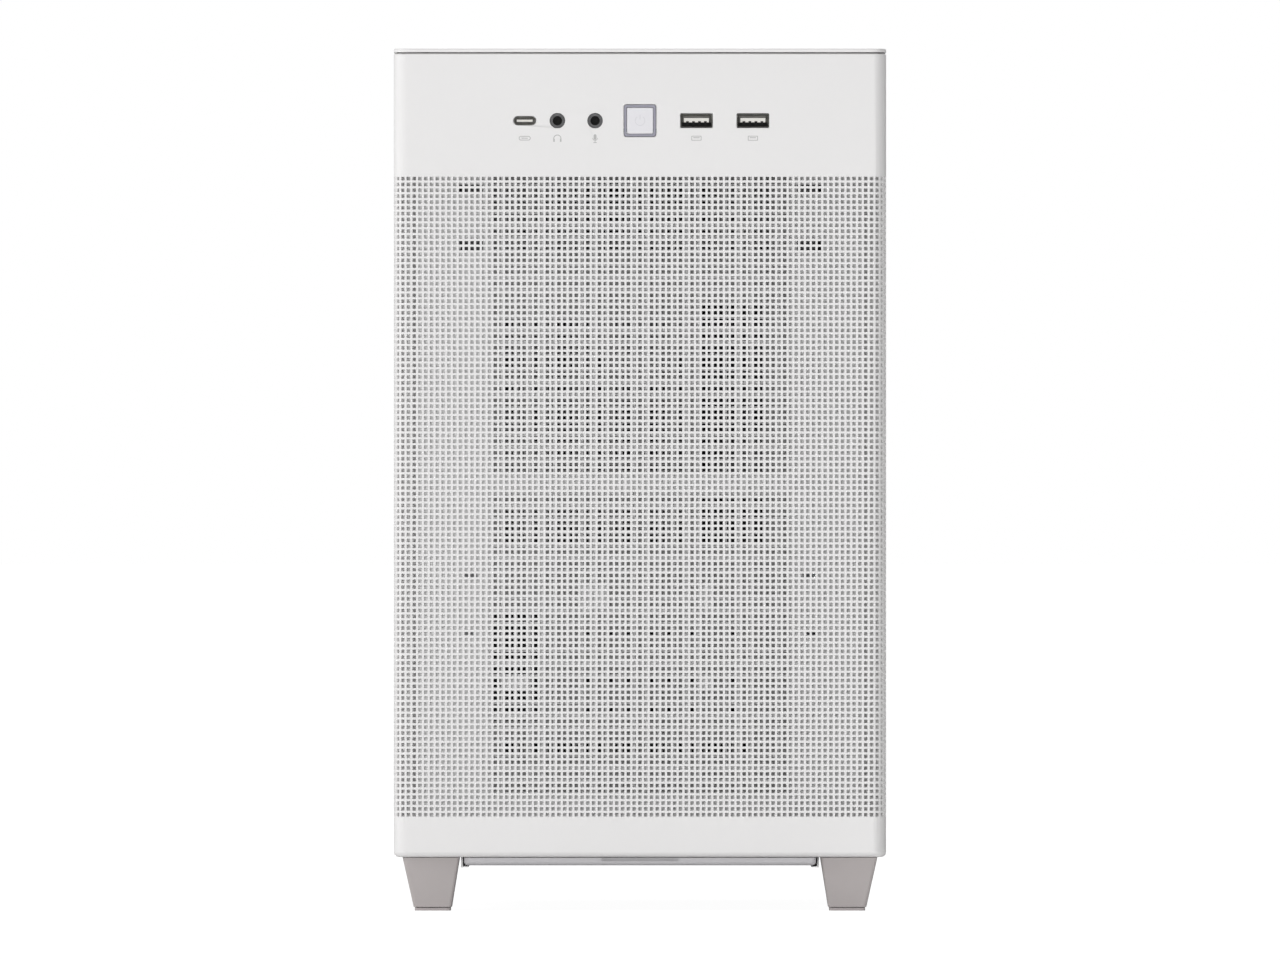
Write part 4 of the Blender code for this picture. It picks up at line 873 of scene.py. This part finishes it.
def board_connectors():
    """Power, drive, fan and header connectors along the board's edges."""
    shapes = [on_board(0.0646, -0.0200, -0.0100, 0.2150, 0.2670),
              on_board(0.0646, 0.1350, 0.1560, 0.3180, 0.3280)]
    shapes.append(on_board(0.0640, -0.0098, -0.0082, 0.2380, 0.2440))
    shapes.append(on_board(0.0705, 0.0000, 0.0100, 0.0905, 0.0965))
    shapes.append(on_board(0.0700, 0.1105, 0.1150, 0.1660, 0.1880))
    for z in (0.1560, 0.1700, 0.1840):
        shapes.append(on_board(0.0640, -0.0210, -0.0100, z - 0.0060, z - 0.0042))
        shapes.append(on_board(0.0640, -0.0210, -0.0100, z + 0.0042, z + 0.0060))
        shapes.append(on_board(0.0640, -0.0118, -0.0100, z - 0.0060, z + 0.0060))
        shapes.append(on_board(0.0700, -0.0205, -0.0100, z - 0.0010, z + 0.0010))
    for y, z in ((0.0300, 0.0925), (0.0450, 0.0925), (0.0900, 0.0925), (0.1250, 0.0925), (0.0050, 0.3270)):
        shapes.append(on_board(0.0725, y - 0.0055, y + 0.0055, z - 0.0020, z + 0.0020))
        shapes.append(on_board(0.0700, y - 0.0055, y + 0.0055, z + 0.0015, z + 0.0022))
    return shapes


def connector_pins():
    pins = []
    for y0, z, count in ((0.0012, 0.0922, 4), (0.0012, 0.0948, 4), (0.0262, 0.0925, 4), (0.0412, 0.0925, 4),
                         (0.0862, 0.0925, 4), (0.1212, 0.0925, 4), (0.0012, 0.3270, 4)):
        for k in range(count):
            y = y0 + k * 0.00254
            pins.append(block((0.0668, y - 0.0003, z - 0.0003), (0.0726, y + 0.0003, z + 0.0003)))
    return pins


def board_sinks():
    """Finned blocks over the power stages, and the grooved plate over the chipset."""
    shapes = [on_board(0.0640, 0.1650, 0.1880, 0.2220, 0.3020),
              on_board(0.0660, 0.0760, 0.1300, 0.3120, 0.3290)]
    for k in range(16):
        z = 0.2220 + k * 0.0784 / 15
        shapes.append(block((0.0500, 0.1650, z), (0.0645, 0.1880, z + 0.0016)))
    for k in range(11):
        y = 0.0760 + k * 0.0524 / 10
        shapes.append(block((0.0560, y, 0.3120), (0.0665, y + 0.0016, 0.3290)))
    shapes.append(on_board(0.0690, 0.0000, 0.0450, 0.1120, 0.1480))
    for k in range(6):
        y = 0.0010 + k * 0.0074
        shapes.append(block((0.0670, y, 0.1130), (0.0692, y + 0.0055, 0.1470)))
    return shapes


def board_parts():
    """Chokes, capacitors, packages and small parts."""
    chokes, cans, chips = [], [], []
    for k in range(8):
        z = 0.2250 + k * 0.0100
        chokes.append(on_board(0.0702, 0.1545, 0.1615, z - 0.0035, z + 0.0035))
    for k in range(5):
        y = 0.0800 + k * 0.0100
        chokes.append(on_board(0.0702, y - 0.0035, y + 0.0035, 0.3045, 0.3110))
    places = [(0.1660, 0.1010), (0.1740, 0.1010), (0.1660, 0.1160), (0.1740, 0.1160), (0.0020, 0.2050)]
    places += [(-0.0040, 0.2750), (-0.0040, 0.2830), (-0.0040, 0.2910), (0.1460, 0.2050), (0.1540, 0.2050)]
    for y, z in places:
        profile = [(0.0030, BOARD_X), (0.0031, BOARD_X - 0.0008), (0.0031, BOARD_X - 0.0062),
                   (0.0026, BOARD_X - 0.0066)]
        cans.append(turned(profile, "X", (0.0, y, z), 16))
    for y, z, half in ((0.1180, 0.1170, 0.0065), (0.1500, 0.1060, 0.0035), (0.1800, 0.2080, 0.0040),
                       (0.0700, 0.1160, 0.0050), (0.0860, 0.1420, 0.0030), (0.0100, 0.2300, 0.0030),
                       (0.0850, 0.2050, 0.0025), (0.1450, 0.1700, 0.0030), (0.0250, 0.3000, 0.0025)):
        chips.append(on_board(BOARD_X - 0.0012, y - half, y + half, z - half, z + half))
    random = np.random.default_rng(5)
    for y, z, turn in random.uniform((-0.018, 0.093, 0.0), (0.219, 0.330, 1.0), (260, 3)):
        size = (0.0005, 0.0003) if turn < 0.5 else (0.0003, 0.0005)
        chips.append(on_board(BOARD_X - 0.0004, y - size[0], y + size[0], z - size[1], z + size[1]))
    return chokes, cans, chips


def port_block(z0, z1, reach, openings):
    """A metal block of rear ports with openings, each as lowest X, highest X and its size along Z."""
    start, middle = 0.2100, (z0 + z1) / 2
    shapes = [block((reach, 0.2000, z0), (0.0735, start, z1))]
    edge = reach
    for low, high, size in openings:
        shapes.append(block((edge, start, z0), (low, PORT_END, z1)))
        shapes.append(block((low, start, z0), (high, PORT_END, middle - size / 2)))
        shapes.append(block((low, start, middle + size / 2), (high, PORT_END, z1)))
        edge = high
    shapes.append(block((edge, start, z0), (0.0735, PORT_END, z1)))
    return shapes


def rear_ports():
    """The rear port blocks with their tongues and contacts, and three sound sockets."""
    metal, tongues, pins = [], [], []
    for z0, z1, reach, kind in PORT_STACKS:
        openings = OPENINGS[kind]
        metal += port_block(z0, z1, reach, openings)
        middle = (z0 + z1) / 2
        for low, high, size in openings:
            x = (low + high) / 2
            if size == NETWORK_SIZE:
                for k in range(-4, 5):
                    z = middle + k * 0.00102
                    pins.append(block((low, 0.2102, z - 0.0002), (low + 0.0030, 0.2250, z + 0.0002)))
            else:
                tongues.append(block((x + 0.0002, 0.2099, middle - 0.0056),
                                     (x + 0.0020, 0.2268, middle + 0.0056)))
    board_piece("motherboard_ports", metal, NICKEL, 0.0002)
    board_piece("motherboard_port_tongues", tongues, BLUE)
    board_piece("motherboard_port_contacts", pins, GOLD)
    body = [block((0.0600, 0.2000, 0.1750), (0.0735, 0.2270, 0.2070))]
    board_piece("motherboard_sound_block", body, PLASTIC, 0.0003)
    for name, mat, z in SOUND_SOCKETS:
        outer, inner = circle(0.0668, z, 0.0042), circle(0.0668, z, 0.0018)
        ring = band(outer, inner, "Y", 0.2265, PORT_END)
        board_piece(f"sound_socket_{name}", [ring], mat, 0.0002)


def motherboard():
    """The board and everything soldered to it, in place of the plain blocks."""
    middle = BOARD_Y + BOARD_SIZE / 2, BOARD_Z + BOARD_SIZE / 2
    outline = rounded(*middle, BOARD_SIZE, BOARD_SIZE, 0.0015)
    board = extruded(outline, "X", BOARD_X, BOARD_X + BOARD_THICKNESS)
    board_piece("motherboard_plate", [board], BOARD)
    board_piece("motherboard_sockets", memory_sockets() + card_slots() + board_connectors(), PLASTIC, 0.0002)
    board_piece("motherboard_pins", connector_pins(), GOLD)
    board_piece("motherboard_sinks", board_sinks(), ALUMINIUM, 0.0002)
    chokes, cans, chips = board_parts()
    board_piece("motherboard_chokes", chokes, STONE, 0.0003)
    board_piece("motherboard_capacitors", cans, ALUMINIUM)
    board_piece("motherboard_chips", chips, CHIP)
    frame_ring = band(rounded(SOCKET_Y, SOCKET_Z, 0.0420, 0.0480, 0.003),
                      rounded(SOCKET_Y, SOCKET_Z, 0.0350, 0.0350,
                      0.003), "X", 0.0735, BOARD_X + 0.0002)
    lever = tube([(0.0730, SOCKET_Y + 0.0225, SOCKET_Z - 0.0200),
                  (0.0730, SOCKET_Y + 0.0225, SOCKET_Z + 0.0220),
                  (0.0715, SOCKET_Y + 0.0235, SOCKET_Z + 0.0260)], 0.0009)
    cell = turned([(0.0100, BOARD_X), (0.0100, BOARD_X - 0.0026), (0.0092, BOARD_X - 0.0034)], "X",
                  (0.0, 0.0690, 0.1500), 32)
    board_piece("motherboard_socket_frame", [frame_ring, lever, cell], STEEL, 0.0001)
    rear_ports()
    heads = [screw("X", (BOARD_X, y, z), 0.0031, -0.0018) for y in (-0.0145, 0.0605, 0.2055)
             for z in (0.0955, 0.2495, 0.3275) if (y, z) not in ((0.0605, 0.2495), (0.2055, 0.3275),
                                                                 (0.2055, 0.2495))]
    piece("motherboard_screws", heads, STEEL)


# Cooling, memory and storage


def heat_pipes():
    """Four copper pipes from the cooler's base round into its fins."""
    pipes = []
    for k in (-1.5, -0.5, 0.5, 1.5):
        z = SOCKET_Z + k * 0.0085
        knots = [(0.0648, 0.118, z), (0.0648, 0.082, z), (0.0640, 0.0700, z), (0.0560, 0.0660, z),
                 (0.0470, 0.0690, z),
                 (0.0450, 0.0780, z), (0.0450, 0.1640, z)]
        pipes.append(tube(smooth_path(knots, 8), 0.0028, 14))
    piece("cooler_pipes", pipes, COPPER)


def cooler_fins():
    """Thin fins between the cooler's own, so that the stack has the pitch of a real one."""
    fins = []
    for k in range(44):
        z = SOCKET_Z - 0.0445 + k * 0.0885 / 43
        fins.append(block((0.0337, SOCKET_Y - 0.0446, z), (0.0625, SOCKET_Y + 0.0446, z + 0.0004)))
    piece("cooler_fins", fins, ALUMINIUM, replaced=["cpu_heatsink"])
    low = (0.0600, SOCKET_Y - 0.045, SOCKET_Z - 0.045)
    plate = block(low, (0.0640, SOCKET_Y + 0.045, SOCKET_Z + 0.045))
    root = block((0.0630, SOCKET_Y - 0.018, SOCKET_Z - 0.018), (0.0702, SOCKET_Y + 0.018, SOCKET_Z + 0.018))
    piece("cooler_base", [plate, root], NICKEL, replaced=["cpu_heatsink"], bevel=0.0004)


def memory_details():
    """Ribs along the free edge of each memory module, and a cover on each of its sides."""
    for index, y in enumerate((0.040, 0.058), start=1):
        ribs = []
        for k in range(19):
            z = 0.2000 + k * 0.0068
            ribs.append(block((0.0352, y - 0.0026, z), (0.0368, y + 0.0026, z + 0.0036)))
        for side in (-1, 1):
            edge = sorted((y + side * 0.0030, y + side * 0.0036))
            ribs.append(block((0.0400, edge[0], 0.1960), (0.0600, edge[1], 0.3260)))
        piece(f"memory_ribs_{index}", ribs, ALUMINIUM, bevel=0.0001)


def drive_details():
    """Memory packages on the storage stick, and its fixing screw."""
    chips = [block((0.0702, y, 0.1685), (0.0714, y + 0.0150, 0.1855)) for y in (0.0480, 0.0680, 0.0880)]
    chips.append(block((0.0702, 0.0350, 0.1710), (0.0714, 0.0440, 0.1830)))
    piece("drive_packages", chips, CHIP, bevel=0.0001)
    piece("drive_screw", [screw("X", (0.0712, 0.0318, 0.1770), 0.0024, -0.0012)], STEEL)


# Fans


def fan_corners(node, axis, centre, half, depth):
    """The holes' rims in a fan frame's corners, on both faces."""
    rims = []
    for u in (-half, half):
        for v in (-half, half):
            for end in (-1, 1):
                heights = sorted((end * depth / 2, end * (depth / 2 - 0.0010)))
                ring = band(circle(u, v, 0.0034, 20), circle(u, v, 0.0022, 20), axis, *heights)
                points = [tuple(Vector(p) + Vector(centre)) for p in ring[0]]
                rims.append((points, ring[1]))
    piece(f"{node}_rims", rims, ROTOR)


def fan_hub(node, axis, centre, radius, height, sign):
    """A dished disc on the hub of a rotor."""
    profile = [(radius, 0.0), (radius, sign * height * 0.7), (radius - 0.0010, sign * height)]
    profile += [(radius * 0.62, sign * height), (radius * 0.60, sign * height * 0.6),
                (0.0005, sign * height * 0.6)]
    piece(f"{node}_cap", [turned(profile, axis, centre, 40)], CHIP, BODY_OF[node])


def fans():
    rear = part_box("rear_fan_frame")
    middle = (rear[0] + rear[1]) / 2
    fan_corners("rear_fan_frame", "Y", middle, REAR_FAN_BOLT, 0.0254)
    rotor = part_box("rear_fan_rotor")[0].y
    fan_hub("rear_fan_rotor", "Y", (middle.x, rotor + 0.0001, middle.z), 0.0180, 0.0006, -1)
    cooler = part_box("cpu_fan_frame")
    middle = (cooler[0] + cooler[1]) / 2
    fan_corners("cpu_fan_frame", "X", middle, 0.0412, 0.0254)
    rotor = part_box("cpu_fan_rotor")[0].x
    fan_hub("cpu_fan_rotor", "X", (rotor + 0.0001, middle.y, middle.z), 0.0160, 0.0006, -1)


def fan_guard():
    """Rings and crossed spokes of round wire with a plain disc in the middle, dark grey as painted shade in
    place of bare steel.
    """
    low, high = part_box("psu_fan_guard")
    y, z = (low.y + high.y) / 2, (low.z + high.z) / 2
    wires = [wire_ring("Y", (0.0, y, z), radius - 0.0007, 0.00058, 72)
             for radius in (0.0265, 0.0390, 0.0520, 0.0658)]
    for angle in (45, 135, 225, 315):
        a = math.radians(angle)
        start = (0.0110 * math.cos(a), y + 0.00002, z + 0.0110 * math.sin(a))
        end = (0.0650 * math.cos(a), y + 0.00002, z + 0.0650 * math.sin(a))
        wires.append(tube([start, end], 0.00055))
    disc = turned([(0.0120, -0.0004), (0.0120, 0.0003), (0.0112, 0.0005)], "Y", (0.0, y, z), 40)
    piece("psu_guard_wires", [*wires, disc], SHADED_GUARD, replaced=["psu_fan_guard"])


# Cables


def strands(node, knots, spread, radius, count, plug, pins):
    """A cable of separate sleeved wires round a common path, with its plug."""
    path = smooth_path(knots, 5)
    wires = [tube(path, radius, 7)]
    layers = 2 if spread > 0.002 else 1
    for layer in range(1, layers + 1):
        number = layer * count
        for k in range(number):
            a = 2 * math.pi * (k + 0.5 * layer) / number
            reach = spread * layer / layers
            wires.append(tube(path, radius, 7, (reach * math.cos(a), reach * math.sin(a))))
    piece(f"{node}_wires", wires, SLEEVE, replaced=[node])
    low, high = plug
    body = [block(low, high), *pins]
    piece(f"{node}_plug", body, CABLE, replaced=[node], bevel=0.0004)


def cables():
    main = [(0.037, -0.144, 0.3045), (0.037, -0.144, 0.3200), (0.042, -0.128, 0.3340),
            (0.054, -0.103, 0.3230),
            (0.060, -0.092, 0.2930), (0.058, -0.072, 0.2620), (0.048, -0.048, 0.2460),
            (0.0430, -0.028, 0.2415),
            (0.0460, -0.0165, 0.2410), (0.0550, -0.0150, 0.2410)]
    ribs = [block((0.0545, y, 0.2165 + k * 0.0042), (0.0628, y + 0.0004, 0.2190 + k * 0.0042))
            for k in range(12) for y in (-0.0207, -0.0097)]
    strands("main_power_cable", main, 0.0034, 0.00085, 6,
            ((0.0540, -0.0205, 0.2155), (0.0637, -0.0095, 0.2665)),
            ribs)
    processor = [(0.049, -0.144, 0.3045), (0.049, -0.144, 0.3190), (0.054, -0.130, 0.3360),
                 (0.062, -0.099, 0.3430),
                 (0.066, -0.030, 0.3440), (0.064, 0.060, 0.3440), (0.054, 0.118, 0.3420),
                 (0.0450, 0.140, 0.3330),
                 (0.0460, 0.1455, 0.3240), (0.0550, 0.1455, 0.3230)]
    ribs = [block((0.0545, 0.1353 + k * 0.0052, z), (0.0628, 0.1386 + k * 0.0052, z + 0.0004))
            for k in range(4) for z in (0.3183, 0.3273)]
    strands("cpu_power_cable", processor, 0.0019, 0.00085, 7, ((0.0540, 0.1345, 0.3185),
            (0.0637, 0.1565, 0.3275)), ribs)


# Outside details


def filter_cloth():
    """The woven cloth of the dust filter, as a sheet of fine square holes."""
    low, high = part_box("dust_filter_mesh")
    pitch = 0.0024
    counts = int((high.x - low.x) / pitch), int((high.y - low.y) / pitch)
    size = Vector((high.x - low.x, high.y - low.y))
    place = level(high.z)
    start = (low.x, low.y)
    mesh = flat_sheet("dust_filter_cloth", start, (size.x / counts[0], size.y / counts[1]), counts,
                      0.00165 / math.sqrt(2), 4, place, high.z - low.z)
    finish_piece(mesh, CLOTH, "dust_filter", ["dust_filter_mesh"], 0)


def slot_vents():
    """The expansion slot covers with a row of vents in each, and a screw beside each one's folded end."""
    heads = []
    for index in range(4):
        z = SLOT_TOP - index * SLOT_STEP
        vents = []
        for k in range(12):
            x = -0.0330 + k * 0.0080
            vents.append(extruded(rounded(x, z - 0.0060, 0.0052, 0.0028, 0.00139), "Y", 0.2200, 0.2270))
        node = f"slot_cover_{index + 1}"
        cut_copy(node, f"{node}_vented", [joined(vents)], CHASSIS)
        heads.append(screw("Y", (-0.0520, REAR_FACE, z), 0.0030, 0.0016))
    piece("slot_cover_screws", heads, STEEL)


def rear_screws():
    """Screw heads at the corners of the rear fan."""
    heads = [screw("Y", (REAR_FAN[0] + u, REAR_FACE, REAR_FAN[1] + v), 0.0034, 0.0017)
             for u in (-REAR_FAN_BOLT, REAR_FAN_BOLT) for v in (-REAR_FAN_BOLT, REAR_FAN_BOLT)]
    piece("rear_fan_screws", heads, STEEL)


def round_the_edges():
    """Small round edges on the nodes that are shown as they are."""
    widths = {"psu_housing": 0.0004, "psu_switch": 0.0004, "power_inlet": 0.0004, "m2_drive": 0.0002,
              "processor": 0.0004, "memory_module_1": 0.0003, "memory_module_2": 0.0003,
              "rear_fan_frame": 0.0003,
              "cpu_fan_frame": 0.0003, "psu_fan_frame": 0.0003, "headphone_jack": 0.0001,
              "microphone_jack": 0.0001}
    for name, width in widths.items():
        soften(NODES[name], width)


# Stage


def stage():
    """A pale floor, the white surround and the soft lights."""
    reach = 60.0
    mesh = bpy.data.meshes.new("floor")
    corners = [(-reach, -reach, 0), (reach, -reach, 0), (reach, reach, 0), (-reach, reach, 0)]
    mesh.from_pydata(corners, [], [(0, 1, 2, 3)])
    mat = bpy.data.materials.new("pale_floor")
    mat.use_nodes = True
    tree = mat.node_tree
    shader = tree.nodes["Principled BSDF"]
    shader.inputs["Base Color"].default_value = (0.88, 0.88, 0.88, 1.0)
    shader.inputs["Roughness"].default_value = 0.9
    shader.inputs["Specular IOR Level"].default_value = 0.0
    glow = tree.nodes.new("ShaderNodeEmission")
    glow.inputs["Strength"].default_value = 1.13
    ray = tree.nodes.new("ShaderNodeLightPath")
    share = remapped(tree, ray.outputs["Is Camera Ray"], 0.0, 1.0, 0.0, 0.86)
    mix = tree.nodes.new("ShaderNodeMixShader")
    tree.links.new(share, mix.inputs["Fac"])
    tree.links.new(shader.outputs["BSDF"], mix.inputs[1])
    tree.links.new(glow.outputs["Emission"], mix.inputs[2])
    tree.links.new(mix.outputs["Shader"], tree.nodes["Material Output"].inputs["Surface"])
    mesh.materials.append(mat)
    floor = bpy.data.objects.new("floor", mesh)
    bpy.context.scene.collection.objects.link(floor)
    surround()
    for name, place, size, power in (
        ("key_light", (-3.2, -1.4, 1.2), 1.6, 36.0),
        ("narrow_light", (-0.18, -6.0, 0.18), 0.38, 133.0),
        ("rear_light", (0.9, 3.5, 1.9), 1.6, 42.0),
        ("top_light", (0.5, 0.5, 3.5), 1.6, 24.0),
        ("right_light", (3.0, 3.2, 1.0), 1.6, 9.0),
    ):
        light = bpy.data.lights.new(name, "AREA")
        light.size = size
        light.energy = power
        ob = bpy.data.objects.new(name, light)
        ob.location = place
        ob.visible_camera = False
        ob.rotation_euler = (Vector((0, 0, 0.18)) - Vector(place)).to_track_quat("-Z", "Y").to_euler()
        bpy.context.scene.collection.objects.link(ob)


def surround():
    """White where the camera sees it; as light, it fades from the left to the right."""
    world = bpy.data.worlds.new("studio")
    world.use_nodes = True
    bpy.context.scene.world = world
    tree = world.node_tree
    place = tree.nodes.new("ShaderNodeTexCoord")
    axes = tree.nodes.new("ShaderNodeSeparateXYZ")
    tree.links.new(place.outputs["Generated"], axes.inputs["Vector"])
    light = remapped(tree, axes.outputs["X"], -1.0, 1.0, 0.77, 0.0)
    ray = tree.nodes.new("ShaderNodeLightPath")
    strength = tree.nodes.new("ShaderNodeMath")
    strength.operation = "MAXIMUM"
    tree.links.new(light, strength.inputs[0])
    tree.links.new(ray.outputs["Is Camera Ray"], strength.inputs[1])
    tree.links.new(strength.outputs["Value"], tree.nodes["Background"].inputs["Strength"])
    tree.nodes["Background"].inputs["Color"].default_value = (1.0, 1.0, 1.0, 1.0)


def camera():
    """A long lens straight in front of the tower, level with its middle."""
    data = bpy.data.cameras.new("camera")
    data.lens = 1000.0
    data.sensor_width = 36.0
    data.clip_end = 100.0
    frame_width = 0.5329
    ob = bpy.data.objects.new("camera", data)
    ob.location = (0.0, LOW.y - frame_width * data.lens / data.sensor_width, 0.1794)
    ob.rotation_euler = (math.radians(90), 0.0, 0.0)
    bpy.context.scene.collection.objects.link(ob)
    bpy.context.scene.camera = ob
    bpy.context.scene.view_settings.view_transform = "Standard"


def paint_cad_nodes():
    for name, node in NODES.items():
        node.data.materials.clear()
        # The fan guard node takes the dark grey painted shade in place of its bare steel
        node.data.materials.append(SHADED_GUARD if name == "psu_fan_guard" else MATERIALS[SLOT_OF[name]])


paint_cad_nodes()
camera()
stage()
front_panel()
side_panel("left_side_panel", -1)
side_panel("right_side_panel", 1)
top_panel()
front_wall()
supply_shroud()
rear_wall()
floor_vent()
front_ports()
motherboard()
heat_pipes()
cooler_fins()
memory_details()
drive_details()
fans()
fan_guard()
cables()
filter_cloth()
slot_vents()
rear_screws()
round_the_edges()
